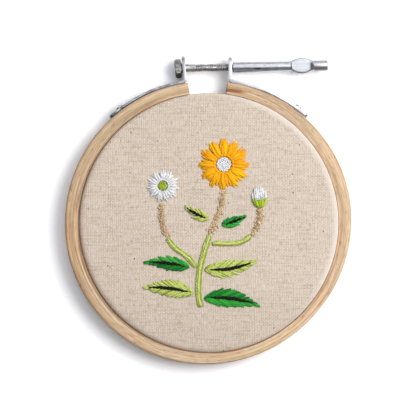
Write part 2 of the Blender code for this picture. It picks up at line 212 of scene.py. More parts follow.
FLOOR_HALF = 3.0
FLOOR_BELOW = 0.02 * MM
PAPER_GRAIN = 900
paper, paint = finish("white_paper", 0.8)
grain = paint.noise(paint.own_place(), (PAPER_GRAIN,) * 3, 3.0)
paint.surface(paint.ramp(grain, (0.3, screen(249, 249, 251)), (0.7, screen(253, 253, 254))))
floor_mesh = bpy.data.meshes.new("floor")
corners = [(x * FLOOR_HALF, y * FLOOR_HALF, 0) for x, y in ((-1, -1), (1, -1), (1, 1), (-1, 1))]
floor_mesh.from_pydata(corners, [], [(0, 1, 2, 3)])
floor_mesh.materials.append(paper)
floor = bpy.data.objects.new("floor", floor_mesh)
floor.location.z = -FLOOR_BELOW
bpy.context.scene.collection.objects.link(floor)


def direction(turn, rise):
    """A unit vector turned from +X towards +Y, and raised from the floor."""
    return Vector((math.cos(rise) * math.cos(turn), math.cos(rise) * math.sin(turn), math.sin(rise)))


LAMP_FROM = direction(math.radians(18), math.radians(52))
LAMP_AWAY = 0.64
lamp = bpy.data.objects.new("lamp", bpy.data.lights.new("lamp", "AREA"))
lamp.data.shape = "DISK"
lamp.data.size = 0.5
lamp.data.energy = 4.7
lamp.data.color = (1.0, 0.985, 0.965)
lamp.location = LAMP_FROM * LAMP_AWAY
lamp.rotation_euler = LAMP_FROM.to_track_quat("Z", "Y").to_euler()
bpy.context.scene.collection.objects.link(lamp)

WINDOW_TURN = math.radians(75)
WINDOW_RISE = math.radians(90 - 24)
room = bpy.data.worlds.new("room")
room.use_nodes = True
paint = Paint(room.node_tree)
looking = paint.node("TexCoord").outputs["Generated"]
to_window_wall, to_window = (
    paint.node("VectorMath", looking, tuple(way), operation="DOT_PRODUCT").outputs["Value"]
    for way in (direction(WINDOW_TURN, 0), direction(WINDOW_TURN, WINDOW_RISE))
)
walls = paint.ramp(
    paint.line(to_window_wall, 0.5, 0.5),
    (0.0, (0.31, 0.315, 0.33)),
    (0.2, (0.23, 0.235, 0.25)),
    (0.5, (0.19, 0.195, 0.21)),
    (0.8, (0.22, 0.225, 0.24)),
    (0.93, (0.6, 0.61, 0.64)),
)
window = paint.ramp(to_window, (0.66, 0.0), (0.89, 1.0))
background = room.node_tree.nodes["Background"].inputs
paint.put(paint.mixed(window, walls, (1.5, 1.53, 1.58)), background["Color"])
background["Strength"].default_value = 1.0
bpy.context.scene.world = room


# Outer ring: a strip of beech bent round and left open at the top for the clamp, its edges sanded round.
# It is planed a little unevenly, so that its front is broader at the left than at the bottom.
def net(rows, columns):
    """Four-cornered faces over a grid of points, row by row; the columns close into a loop."""
    place = np.arange(rows * columns).reshape(rows, columns)
    right = np.roll(place, -1, 1)
    return np.stack((place[:-1], right[:-1], right[1:], place[1:]), -1).reshape(-1, 4)


def capped_net(rows, columns):
    """A net with one flat face at each end."""
    last = range((rows - 1) * columns, rows * columns)
    return net(rows, columns).tolist() + [list(range(columns - 1, -1, -1)), list(last)]


def piece(name, mesh, material, body, replaced):
    """A piece's object, at the origin, with what it is made of and what it rides on and stands for."""
    mesh.materials.clear()
    mesh.materials.append(material)
    made = bpy.data.objects.new(name, mesh)
    bpy.context.scene.collection.objects.link(made)
    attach(made, body)
    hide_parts(*replaced)
    return made


def build(name, points, faces, material, body, slot, replaced, angle=180, **attributes):
    """A piece from points and faces, smooth but for edges sharper than the angle; an attribute is a number,
    or three, for each point."""
    mesh = bpy.data.meshes.new(name)
    mesh.from_pydata(np.asarray(points).reshape(-1, 3).tolist(), [], faces)
    mesh.update()
    for key, values in attributes.items():
        values = np.asarray(values, np.float32).reshape(-1)
        kind, field = ("FLOAT", "value") if len(values) == len(mesh.vertices) else ("FLOAT_VECTOR", "vector")
        mesh.attributes.new(key, kind, "POINT").data.foreach_set(field, values)
    mesh.shade_smooth()
    if angle < 180:
        mesh.set_sharp_from_angle(angle=math.radians(angle))
    return piece(name, mesh, material, body, replaced)


def around(count):
    """Equal turns round a circle."""
    return np.arange(count) * 2 * math.pi / count


def circle(turn):
    """Places on a circle of radius 1, from +X towards +Y."""
    return np.stack((np.cos(turn), np.sin(turn)), -1)


def drift(turn, waves, size, seed):
    """A slow uneven swing along a circle: a sum of sines with whole numbers of waves and random phases."""
    chance = np.random.default_rng(seed)
    total = np.zeros_like(turn)
    for wave in waves:
        total = total + np.sin(wave * turn + chance.uniform(0, 2 * math.pi)) * chance.uniform(0.5, 1.0)
    return total * size / len(waves)


def rounded_box(width, height, edges, corner_steps, side_steps):
    """A box's outline with round corners, anticlockwise from its right side, centred on zero. The edges
    are the corners' radii: upper right, upper left, lower left, lower right."""
    turn = np.linspace(0, math.pi / 2, corner_steps + 1)
    arcs = []
    for quarter, (edge, x, y) in enumerate(zip(edges, (1, -1, -1, 1), (1, 1, -1, -1))):
        corner = np.array((x * (width / 2 - edge), y * (height / 2 - edge)))
        arcs.append(corner + edge * circle(turn + quarter * math.pi / 2))
    share = np.linspace(0, 1, side_steps + 1)[1:-1, None]
    loop = []
    for arc, following in zip(arcs, arcs[1:] + arcs[:1]):
        loop += [arc, arc[-1] + (following[0] - arc[-1]) * share]
    return np.concatenate(loop)


def wood(name):
    """Bent beech: pale, tan and grey-brown bands with fine fibres run with the strip, and orange streaks
    lie mostly near its inner edge. The grain attribute holds the distance along the strip, across it from
    the inner edge, and up it. The stain attribute, on the outer ring alone, holds the distance from its
    right end, from its left end, and across it. It places the red-brown and the grey streak at the right
    end and the thin dark lines at the lower left. There it also darkens the brown inner edge with painted
    shade for the crease beside the cloth."""
    material, paint = finish(name, 0.6, specular=0.35)
    grain = paint.attribute("grain")
    across_grain = paint.parts(grain)[1]
    fibres = paint.noise(grain, (230, 2400, 1600), 4.0, 0.75)
    flecks = paint.noise(grain, (300, 1700, 1200))
    colour = paint.ramp(
        paint.noise(grain, (17, 640, 380), 4.0, 0.62),
        (0.28, dyed(162, 134, 106)),
        (0.41, dyed(190, 160, 126)),
        (0.5, dyed(204, 176, 144)),
        (0.6, dyed(216, 192, 163)),
        (0.72, dyed(190, 158, 122)),
    )
    fibre_tones = ((0.34, (0.62, 0.58, 0.54)), (0.46, (0.92, 0.905, 0.89)), (0.56, (1.04, 1.03, 1.02)))
    colour = paint.toned(colour, paint.ramp(fibres, *fibre_tones))
    long_streaks = paint.noise(grain, (11, 620, 420), 3.0, 0.6)
    olive = paint.ramp(long_streaks, (0.54, 0.0), (0.63, 0.6))
    colour = paint.mixed(olive, colour, dyed(186, 166, 128))
    yellow = paint.ramp(long_streaks, (0.35, 0.6), (0.45, 0.0))
    colour = paint.mixed(yellow, colour, dyed(232, 204, 158))

    here_and_there = paint.noise(grain, (50, 10, 10))
    at_inside = paint.product(paint.rise(across_grain, 2.4 * MM, 0.0, high=2.0), here_and_there)
    orange = paint.line(at_inside, 0.2, paint.noise(grain, (34, 900, 520), 3.0, 0.6))
    colour = paint.mixed(paint.ramp(orange, (0.6, 0.0), (0.7, 0.75)), colour, dyed(190, 132, 84))
    colour = paint.toned(colour, (0.5, 0.38, 0.32), paint.ramp(flecks, (0.68, 0.0), (0.72, 0.9)))
    at_outside = paint.product(paint.rise(across_grain, 3.84 * MM, 4.64 * MM), here_and_there)
    colour = paint.toned(colour, (0.8, 0.66, 0.5), at_outside)
    patches = paint.noise(grain, (34, 130, 90))
    colour = paint.toned(colour, paint.ramp(patches, (0.35, (0.9, 0.89, 0.88)), (0.65, (1.03, 1.02, 1.0))))

    from_right, from_left, across = paint.parts(paint.attribute("stain"))
    on_ring = paint.sums("GREATER_THAN", from_left, 0.0)
    whole_turn = paint.line(from_right, 1 / (2 * math.pi * ring_radius))
    line_places = ((0.0, 0.5), (0.35, 0.2), (0.46, 0.3), (0.58, 1.0), (0.74, 0.9), (0.84, 0.2))
    lined = paint.product(
        paint.rise(across, 3.84 * MM, 2.24 * MM, low=0.25), paint.ramp(whole_turn, *line_places)
    )
    lines = paint.noise(grain, (30, 1700, 900), 3.0, 0.65)
    thin_lines = paint.ramp(lines, (0.41, (0.6, 0.53, 0.46)), (0.5, 1.0), (0.6, (1.08, 1.07, 1.05)))
    colour = paint.toned(colour, thin_lines, lined)
    # Painted shade: at the lower left, the ring's inner edge has a brown line of its own. It is darkened
    # further to stand for the shade of the crease beside the cloth.
    crease_shade_places = ((0.42, 0.0), (0.53, 0.35), (0.6, 1.0), (0.7, 0.5), (0.82, 0.3), (0.88, 0.0))
    brown_edge_and_crease_shade = paint.product(
        paint.rise(across, 0.9375 * MM, 0.1875 * MM), paint.ramp(whole_turn, *crease_shade_places), on_ring
    )
    colour = paint.toned(colour, (0.56, 0.46, 0.38), brown_edge_and_crease_shade)

    streak = paint.line(from_right, -0.06, paint.sums("ADD", across, -1.55 * MM))
    off_streak = paint.sums("POWER", paint.line(paint.sums("ABSOLUTE", streak), 1 / (0.85 * MM)), 2.0)
    red = paint.product(
        paint.held(paint.sums("SUBTRACT", 1.0, off_streak)),
        paint.rise(from_right, 9.2 * MM, 4.6 * MM),
        paint.line(fibres, 3.4, -0.75),
    )
    beside_streak = paint.sums("ABSOLUTE", paint.sums("ADD", streak, -0.5 * MM))
    grey = paint.product(
        paint.rise(beside_streak, 1.1 * MM, 0.0), paint.rise(from_right, 12.6 * MM, 5.6 * MM), 0.75, on_ring
    )
    colour = paint.mixed(grey, colour, dyed(142, 118, 88))
    red = paint.product(paint.sums("MINIMUM", red, 0.95), on_ring)
    colour = paint.mixed(red, colour, dyed(128, 68, 36))
    rough = paint.ramp(fibres, (0.3, 0.72), (0.7, 0.52))
    paint.surface(colour, paint.line(flecks, -0.5, fibres), 0.4, 0.14 * MM, rough)
    return material


beech = wood("beech")
RING_BORE = 51.1 * MM
SPLIT_LEFT = math.radians(8.3)
SPLIT_RIGHT = math.radians(7.5)
RING_EDGES = (0.95 * MM, 0.3 * MM, 0.8 * MM, 0.95 * MM)
END_ROUND = 0.7 * MM
END_STEPS = np.array((0.0, 0.15, 0.4, 0.7, 1.0))
RING_STEPS = 420
STEPS_UNDER_END = 6
CROWN = 0.18 * MM
# The outer edge's swing: its mean, then the share of sin(turn), cos(turn), sin(2 turn) and so on, in mm.
SWING_MEAN = -0.252
SWING = ((-0.27, 0.203), (0.33, -0.345), (-0.146, -0.09))
ring_width = ring_radius - RING_BORE


def outer_edge(turn):
    """The ring's outer radius by the turn from the top: it swings about its mean, and drifts a little."""
    swing = SWING_MEAN
    for wave, (by_sine, by_cosine) in enumerate(SWING, 1):
        swing = swing + by_sine * np.sin(wave * turn) + by_cosine * np.cos(wave * turn)
    return ring_radius + swing * MM + drift(turn, (5, 8, 13, 21), 0.06 * MM, 3)


section = rounded_box(ring_width, ring_depth, RING_EDGES, 6, 6)
first_turn, last_turn = SPLIT_RIGHT, 2 * math.pi - SPLIT_LEFT
end_turn = END_ROUND / ring_radius * END_STEPS
middle_turns = np.linspace(first_turn, last_turn, RING_STEPS)[STEPS_UNDER_END:-STEPS_UNDER_END]
turns = np.concatenate((first_turn + end_turn, middle_turns, (last_turn - end_turn)[::-1]))
end_inset = END_ROUND * (1 - np.sqrt(1 - (1 - END_STEPS) ** 2))
inset = np.concatenate((end_inset, np.zeros(len(middle_turns)), end_inset[::-1]))
width_here = outer_edge(turns) - RING_BORE
share = section[:, 0] / ring_width
level = section[:, 1]
keep_width = 1 - 2 * inset / width_here
keep_height = 1 - 2 * inset / ring_depth
radius = RING_BORE + width_here[:, None] * (0.5 + share * keep_width[:, None])
height = ring_depth / 2 + level * keep_height[:, None]
height = height - CROWN * (2 * share) ** 2 * (level > ring_depth / 2 - 0.01 * MM)
height = height + drift(turns, (3, 4, 9), 0.05 * MM, 5)[:, None] * (level > 0)
x, y = radius * np.sin(turns)[:, None], radius * np.cos(turns)[:, None]
along = np.broadcast_to(turns[:, None] * ring_radius, radius.shape)
grain = np.stack((along, radius - RING_BORE, height), -1)
from_ends = np.stack((turns - first_turn, last_turn - turns), 1) * ring_radius
stain = np.concatenate((np.broadcast_to(from_ends[:, None], radius.shape + (2,)), grain[..., 1:2]), 2)
grain[..., 1] += drift(turns, (1, 2, 3), 0.5 * MM, 8)[:, None]
build(
    "outer_ring_beech",
    np.stack((x, y, height), -1) + ring_middle,
    capped_net(len(turns), len(section)),
    beech,
    "hoop",
    "beech",
    ["outer_ring"],
    50,
    grain=grain,
    stain=stain,
)

# Inner ring: a closed strip of the same beech inside the linen, its front edge rounded for the cloth.
# It was pushed in a little askew, so the cloth turns down sharply at the upper right and slowly at the
# lower left.
cloth_low, cloth_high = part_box("cloth")
cloth_top = cloth_high.z
CLOTH_THICK = 0.42 * MM
SKIRT_REACH = RING_BORE - 0.06 * MM
INNER_WIDTH = 5.4 * MM
INNER_EDGE = 0.9 * MM
ROLL_TURN = math.radians(245)
ASKEW = 0.75 * MM
ASKEW_TURN = math.radians(65)
GRAIN_START = 0.9
inner_outside = SKIRT_REACH - CLOTH_THICK - 0.06 * MM
inner_top = cloth_top - CLOTH_THICK - 0.05 * MM


def cloth_roll(turn):
    """The cloth's turn over the edge is a quarter ellipse: its breadth is 1.45 mm and its drop 1.18 mm,
    with up to 0.9 and 0.95 mm more to the lower left, and as much less to the upper right."""
    swing = np.cos(turn - ROLL_TURN)
    return (1.45 + 0.9 * swing) * MM, (1.18 + 0.95 * swing) * MM


def askew(x, y):
    """How much higher the pushed-in ring stands at a place: 0.75 mm up at the upper right edge, and as much
    down at the other side."""
    return ASKEW * (x * math.sin(ASKEW_TURN) + y * math.cos(ASKEW_TURN)) / RING_BORE


section = rounded_box(INNER_WIDTH, inner_top, (INNER_EDGE,) * 4, 5, 5)
turns = around(RING_STEPS)
swing = drift(turns, (2, 5, 7), 0.15 * MM, 12)[:, None]
across = section[:, 0] + np.where(section[:, 0] < 0, swing, 0)
radius = inner_outside - INNER_WIDTH / 2 + across
breadth, drop = (np.maximum(size[:, None] - CLOTH_THICK, 0.05 * MM) for size in cloth_roll(turns))
corner = np.clip((radius - (inner_outside - breadth)) / breadth, 0, 1)
ceiling = inner_top - drop + drop * np.sqrt(1 - np.clip(corner, 0, 0.98) ** 2)
height = np.minimum(inner_top / 2 + section[:, 1], ceiling)
x, y = radius * np.sin(turns)[:, None], radius * np.cos(turns)[:, None]
along = np.broadcast_to(turns[:, None] * ring_radius + GRAIN_START, radius.shape)
build(
    "inner_ring_beech",
    np.stack((x, y, height * (1 + askew(x, y) / inner_top)), -1) + ring_middle,
    (net(RING_STEPS + 1, len(section)) % (RING_STEPS * len(section))).tolist(),
    beech,
    "hoop",
    "beech",
    ["inner_ring"],
    50,
    grain=np.stack((along, radius, height), -1),
)

# Linen: one round of unbleached plain weave, stretched over the inner ring, rolled over its edge, drawn
# down between the rings and cut off just above the back. Its weave is uneven, with slubs and a few specks.
cloth_reach = (cloth_high.x - cloth_low.x) / 2
CLOTH_SIDES = 360
DISC_STEPS = 46
ROLL_STEPS = 9
SKIRT_STEPS = 6
TRIM = 0.9 * MM


def cloth_line(depth, turn):
    """The cloth's line from its middle out, for each turn: flat, a quarter ellipse over the edge, straight
    down to the cut. A depth moves it inwards, for the cloth's other face. Gives radius and height, by
    step and turn."""
    breadth, drop = cloth_roll(turn)
    edge = SKIRT_REACH - breadth
    share = np.linspace(0, 1, DISC_STEPS + 1)[1:, None]
    bend = np.linspace(0, math.pi / 2, ROLL_STEPS + 1)[1:, None]
    fall = np.linspace(0, 1, SKIRT_STEPS + 1)[1:, None]
    skirt_radius = np.broadcast_to(SKIRT_REACH - depth, (SKIRT_STEPS, len(turn)))
    disc_height = np.broadcast_to(cloth_top - depth, (DISC_STEPS, len(turn)))
    roll_height = cloth_top - drop + (drop - depth) * np.cos(bend)
    skirt_height = cloth_top - drop + (TRIM - cloth_top + drop) * fall
    radius = np.concatenate((share * edge, edge + (breadth - depth) * np.sin(bend), skirt_radius))
    return radius, np.concatenate((disc_height, roll_height, skirt_height))


def ripples(x, y):
    """The slight unevenness of tight cloth: a few crossing waves, a tenth of a millimetre high at most."""
    low = np.sin(x * 190 + 1.0) * np.sin(y * 150 + 0.4) * 0.035
    fine = np.sin(x * 520 + y * 90) * 0.012 + np.sin(y * 610 - x * 70 + 2.0) * 0.012
    return (low + fine) * MM


def pointed_net(rows, sides):
    """A net whose ends close in a point; the two points follow the rows."""
    here = np.arange(sides)
    following = np.roll(here, -1)
    last = (rows - 1) * sides
    point = np.full(sides, rows * sides)
    faces = net(rows, sides).tolist()
    faces += np.stack((point, following, here), 1).tolist()
    faces += np.stack((point + 1, last + here, last + following), 1).tolist()
    return faces


turn = around(CLOTH_SIDES)
sides_of_cloth = []
for depth in (0.0, CLOTH_THICK):
    radius, height = cloth_line(depth, turn)
    step = np.hypot(np.diff(radius, axis=0), np.diff(height, axis=0))
    run = np.concatenate((radius[:1], radius[:1] + np.cumsum(step, axis=0)))
    sides_of_cloth.append((radius, height, run))
radius, height, run = (np.concatenate((front, back[::-1])) for front, back in zip(*sides_of_cloth))
x, y = radius * np.sin(turn), radius * np.cos(turn)
fraying = np.where(np.abs(height - TRIM) < 0.05 * MM, 1.0, 0.0) * drift(turn, (17, 23, 41, 67), 0.5 * MM, 21)
lift = np.where(np.abs(height - cloth_top) < 0.6 * MM, ripples(x, y), 0) + fraying
grid = np.stack((x, y, height + lift + askew(x, y) * height / cloth_top), -1)
weave = np.stack((run * np.sin(turn), run * np.cos(turn), height * 0), -1)
middles = np.array(((0, 0, cloth_top), (0, 0, cloth_top - CLOTH_THICK)))

WARP_PITCH = 0.79 * MM
WEFT_PITCH = 0.6 * MM
WANDER = 4.0
linen, paint = finish("linen", 0.88, specular=0.2, sheen=0.15)
laid = paint.attribute("weave")
laid_x, laid_y, _ = paint.parts(laid)
warp = paint.line(laid_x, 1 / WARP_PITCH, paint.line(paint.noise(laid, (90, 12, 1)), WANDER))
weft = paint.line(laid_y, 1 / WEFT_PITCH, paint.line(paint.noise(laid, (12, 90, 1)), WANDER))
warp_arch, weft_arch = (
    paint.sums("ABSOLUTE", paint.sums("SINE", paint.line(thread, math.pi))) for thread in (warp, weft)
)
crossing = paint.sums("ADD", paint.sums("FLOOR", warp), paint.sums("FLOOR", weft))
warp_tone = paint.noise(laid, (2300, 420, 1), 3.0, 0.7)
weft_tone = paint.noise(laid, (300, 2100, 1), 3.0, 0.7)
long_slubs = paint.noise(laid, (2000, 60, 1), 3.0, 0.65)
cross_slubs = paint.noise(laid, (60, 1800, 1), 2.0, 0.6)
upper_thread = paint.between(
    paint.sums("FLOORED_MODULO", crossing, 2.0),
    paint.line(long_slubs, 0.55, paint.line(warp_tone, 1.25)),
    paint.line(cross_slubs, 0.4, paint.line(weft_tone, 1.1)),
)
threads = paint.ramp(
    paint.line(warp_tone, 0.55, paint.line(upper_thread, 0.5)),
    (0.44, dyed(168, 146, 124)),
    (0.6, dyed(200, 184, 168)),
    (0.72, dyed(212, 198, 184)),
    (0.9, dyed(222, 210, 197)),
)
arches = paint.product(paint.sums("POWER", warp_arch, 0.9), paint.sums("POWER", weft_arch, 0.35))
slivers = paint.noise(laid, (1900, 260, 1))
cross_lines = paint.noise(laid, (120, 1500, 1), 2.0, 0.6)
blotches = paint.noise(laid, (26, 26, 1), 3.0, 0.6)
for pattern, *stops in (
    (arches, (0.0, (0.8, 0.77, 0.74)), (0.5, 1.0)),
    (slivers, (0.64, 1.0), (0.76, (0.76, 0.7, 0.64))),
    (cross_lines, (0.36, (0.89, 0.872, 0.845)), (0.5, (1.02, 1.022, 1.025))),
    (blotches, (0.3, (0.95, 0.945, 0.94)), (0.7, 1.0)),
):
    threads = paint.toned(threads, paint.ramp(pattern, *stops))
# Painted light: the cloth's rim is paler towards the upper right, where its roll over the ring's edge faces
# the lamp.
to_right = paint.line(paint.line(laid_y, 0.35, laid_x), 1 / cloth_reach)
run_out = paint.node("VectorMath", laid, operation="LENGTH").outputs["Value"]
on_rim = paint.rise(run_out, SKIRT_REACH - 2.6 * MM, SKIRT_REACH - 1.0 * MM)
painted_rim_highlight = paint.product(on_rim, paint.rise(to_right, 0.4, 0.8), 0.7)
threads = paint.mixed(painted_rim_highlight, threads, dyed(227, 216, 206))
# Painted shade: the cloth grows darker towards the bottom, away from the light.
from_bottom = paint.line(laid_y, 0.5 / cloth_reach, 0.5)
painted_low_shade = ((0.0, (0.89, 0.89, 0.885)), (0.25, (0.965, 0.965, 0.96)), (0.5, 0.98))
threads = paint.toned(threads, paint.ramp(from_bottom, *painted_low_shade))
speck_places = paint.node("Mapping", Vector=laid, Scale=(110, 80, 1)).outputs[0]
speck_net = paint.node("TexVoronoi", voronoi_dimensions="2D", Vector=speck_places, Scale=1.0, Randomness=1.0)
pick, size_pick, _ = paint.node("SeparateColor", speck_net.outputs["Color"]).outputs
near_speck = paint.sums("LESS_THAN", speck_net.outputs["Distance"], paint.line(size_pick, 0.018, 0.014))
specks = paint.product(near_speck, paint.sums("GREATER_THAN", pick, 0.6), 0.85)
threads = paint.mixed(specks, threads, dyed(100, 66, 42))
paint.surface(threads, paint.line(upper_thread, 0.8, paint.line(arches, 0.5)), 0.3, 0.12 * MM)
cloth = build(
    "linen_round",
    np.concatenate((grid.reshape(-1, 3), middles)) + ring_middle,
    pointed_net(len(radius), CLOTH_SIDES),
    linen,
    "hoop",
    "linen",
    ["cloth"],
    weave=np.concatenate((weave.reshape(-1, 3), np.zeros((2, 3)))),
)

# Brackets: zinc-plated steel sheet, bent at the foot of the ear, with sheared edges that are slightly round.
# The clamp's pieces all lie about the line that the long nut turns on.
axis_point = np.array(frame["joints"][0]["pos_m"])
axis_along = np.array(frame["joints"][0]["axis"])
axis_across = np.array((-axis_along[1], axis_along[0], 0.0))
SHEET = 1.3 * MM
LEFT_EAR_OUTSIDE = -10.37 * MM
LEFT_LEAN = -math.tan(math.radians(5))
STRAP_INSIDE = ring_radius + 0.3 * MM
STRAP_GAP = 0.1 * MM
TAIL_FROM = math.radians(16)
TAIL_OVER = math.radians(9)
EAR_HALF_GAP = 11.5 * MM


def plating(name, tones, ear_tone, roughness, strap_edge_shade, ear_middle, ear_lean):
    """Zinc over steel, smeared in a deep, a middle and a bright tone, with a tone of its own at the ear, and
    a little rougher in specks. The front's sheared edge carries painted shade: it is darkened and made
    rougher at that height, by a share along the strap, and at the left of the ear's middle, the side away
    from the light. The middle is a place along X at the screw and leans with Y. Past the screw the ear is
    bright to its end, with no painted shade."""
    material, paint = finish(name, roughness, 1.0)
    own = paint.own_place()
    x, y, z = paint.parts(own)
    smears = paint.noise(own, (330, 330, 60), 3.0, 0.65)
    specks = paint.noise(own, (1900,) * 3, 2.0, 0.6)
    colour = paint.ramp(smears, *((place, screen(*tone)) for place, tone in zip((0.32, 0.5, 0.66), tones)))
    on_ear = paint.rise(paint.sums("ABSOLUTE", x), 13.5 * MM, 11.0 * MM)
    colour = paint.mixed(on_ear, colour, screen(*ear_tone))
    past_screw = paint.rise(y, axis_point[1] + 1.2 * MM, axis_point[1] + 2.2 * MM)
    level = paint.line(z, 0.1 / MM, past_screw)
    sheared = paint.ramp(level, (0.74, 0.0), (0.77, 1.0), (0.8015, 1.0), (0.8046, 0.0))
    middle_here = ear_middle - ear_lean * axis_point[1]
    leaning = paint.line(y, -ear_lean, x)
    left_of_middle = paint.rise(leaning, middle_here, middle_here - 0.2 * MM, low=0.25)
    # Painted shade: the sheared edges are darkened into dark outlines along the strap and at the ear's left
    # side.
    painted_edge_shade = paint.product(sheared, paint.between(on_ear, strap_edge_shade, left_of_middle))
    colour = paint.toned(colour, (0.2, 0.21, 0.22), painted_edge_shade)
    polish = paint.mixed(painted_edge_shade, paint.ramp(specks, (0.3, roughness + 0.04), (0.7, roughness - 0.04)), 0.8)
    paint.surface(colour, paint.line(specks, 0.2, smears), 0.12, 0.1 * MM, polish)
    return material


def softened(part, name, edge_width, material, thin, ear_shift, tail_gap):
    """A CAD node's own shape with its sharp edges rounded: merged, flat faces joined, then bevelled. The
    strap is drawn in to the ring's own edge but for a gap that widens to its tail, its thickness is
    scaled, fading out up the ear, and the ear is moved sideways."""
    shape = bmesh.new()
    shape.from_mesh(frame["nodes"][part].data)
    bmesh.ops.remove_doubles(shape, verts=shape.verts, dist=0.002 * MM)
    bmesh.ops.dissolve_limit(
        shape,
        angle_limit=math.radians(1.0),
        verts=shape.verts,
        edges=shape.edges,
        use_dissolve_boundaries=False,
    )
    mesh = bpy.data.meshes.new(name)
    shape.to_mesh(mesh)
    shape.free()
    place = np.array([corner.co[:] for corner in mesh.vertices])
    flat = place[:, :2] - ring_middle[:2]
    out = np.linalg.norm(flat, axis=1)
    turn = np.arctan2(flat[:, 0], flat[:, 1])
    inside = outer_edge(turn % (2 * math.pi)) + STRAP_GAP
    gap = tail_gap * np.clip((np.abs(turn) - TAIL_FROM) / TAIL_OVER, 0, 1)
    drawn = inside + gap + (out - STRAP_INSIDE) * (thin - gap / SHEET)
    on_strap = np.clip((ring_radius + 4.0 * MM - out) / (2.2 * MM), 0, 1)
    moved = out + (drawn - out) * on_strap
    place[:, :2] = flat * (moved / out)[:, None] + ring_middle[:2]
    on_ear = np.clip((out - ring_radius - 0.9 * MM) / (1.6 * MM), 0, 1) * (np.abs(flat[:, 0]) < EAR_HALF_GAP)
    place[:, 0] += ear_shift * on_ear
    mesh.vertices.foreach_set("co", place.astype(np.float32).reshape(-1))
    mesh.update()
    mesh.shade_smooth()
    made = piece(name, mesh, material, "hoop", [part])
    edge = made.modifiers.new("edges", "BEVEL")
    edge.width = edge_width
    edge.segments = 3
    edge.limit_method = "ANGLE"
    edge.angle_limit = math.radians(40)
    edge.harden_normals = False


zinc = plating(
    "zinc_plate",
    ((166, 168, 172), (182, 183, 187), (192, 193, 197)),
    (184, 185, 189),
    0.26,
    0.1,
    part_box("right_bracket")[0].x + SHEET / 2,
    0.0,
)
dull_zinc = plating(
    "dull_zinc_plate",
    ((78, 84, 92), (128, 132, 138), (178, 180, 184)),
    (152, 153, 157),
    0.3,
    0.55,
    LEFT_EAR_OUTSIDE + SHEET / 2,
    LEFT_LEAN,
)
LEFT_THIN = 0.82
RIGHT_THIN = 1.1
softened("left_bracket", "left_bracket_plate", 0.38 * MM, dull_zinc, LEFT_THIN, -0.25 * MM, 0.2 * MM)
softened("right_bracket", "right_bracket_plate", 0.42 * MM, zinc, RIGHT_THIN, 0.0, 0.3 * MM)

# Rivets: soft steel, their shanks through the straps into the wood and their heads hammered to a low dome.
RIVET_TURN = math.radians(37.8)
RIVET_RADIUS = 1.62 * MM
RIVET_SIDES = 28
SHANK_RADIUS = 0.85 * MM
SHANK_DEPTH = 3.0 * MM
DOME_STRAIGHT = 0.2 * MM
DOME_HEIGHT = 0.78 * MM
rivet_steel, paint = finish("rivet_steel", 0.34, 1.0)
dents = paint.noise(paint.own_place(), (1400,) * 3)
tones = paint.ramp(dents, (0.35, screen(150, 150, 152)), (0.65, screen(214, 214, 216)))
paint.surface(tones, dents, 0.3, 0.15 * MM)
for side_name, side, thin in (("left", -1, LEFT_THIN), ("right", 1, RIGHT_THIN)):
    out = np.array((side * math.sin(RIVET_TURN), math.cos(RIVET_TURN), 0.0))
    up = np.array((0.0, 0.0, 1.0))
    strap_face = outer_edge(side * RIVET_TURN % (2 * math.pi)) + STRAP_GAP + SHEET * thin
    dome = np.linspace(0, math.pi / 2, 10)
    # The profile's columns: distance from the ring's middle, radius about the rivet's own line.
    head = (strap_face + DOME_STRAIGHT + DOME_HEIGHT * np.sin(dome), RIVET_RADIUS * np.cos(dome) ** 0.7)
    shank = (
        (ring_radius - SHANK_DEPTH, SHANK_RADIUS),
        (strap_face, SHANK_RADIUS),
        (strap_face, RIVET_RADIUS * 0.97),
    )
    profile = np.concatenate((shank, np.stack(head, 1)))
    profile[-1, 1] = 0.05 * MM
    turn = around(RIVET_SIDES)
    rim = np.cos(turn)[:, None] * up + np.sin(turn)[:, None] * np.cross(out, up)
    middle = ring_middle + up * ring_depth / 2
    points = middle + profile[:, 0, None, None] * out + profile[:, 1, None, None] * rim
    ends = [middle + profile[end, 0] * out for end in (0, -1)]
    build(
        side_name + "_rivet_head",
        np.concatenate((points.reshape(-1, 3), ends)),
        pointed_net(len(profile), RIVET_SIDES),
        rivet_steel,
        "hoop",
        "zinc_plate",
        [side_name + "_rivet"],
        45,
    )

# Clamp screw: a smooth shank, then a rolled thread whose ridge climbs a pitch a turn, then the core that
# lies inside the long nut. Its head is a separate section below.
SCREW_RADIUS = 1.58 * MM
CORE_RADIUS = 1.22 * MM
PITCH = 0.7 * MM
THREAD_FROM = -5.3 * MM
THREAD_TO = 9.3 * MM
SCREW_FROM = -10.6 * MM
SCREW_TO = 19.5 * MM
SCREW_SIDES = 28
THREAD_STEPS = 10


def on_axis(distance, across, depth):
    """Points given by their distance along the screw, across it in the hoop's plane, and towards the
    front."""
    toward_front = np.array((0.0, 0.0, 1.0))
    flat = axis_point + distance[..., None] * axis_along + across[..., None] * axis_across
    return flat + depth[..., None] * toward_front


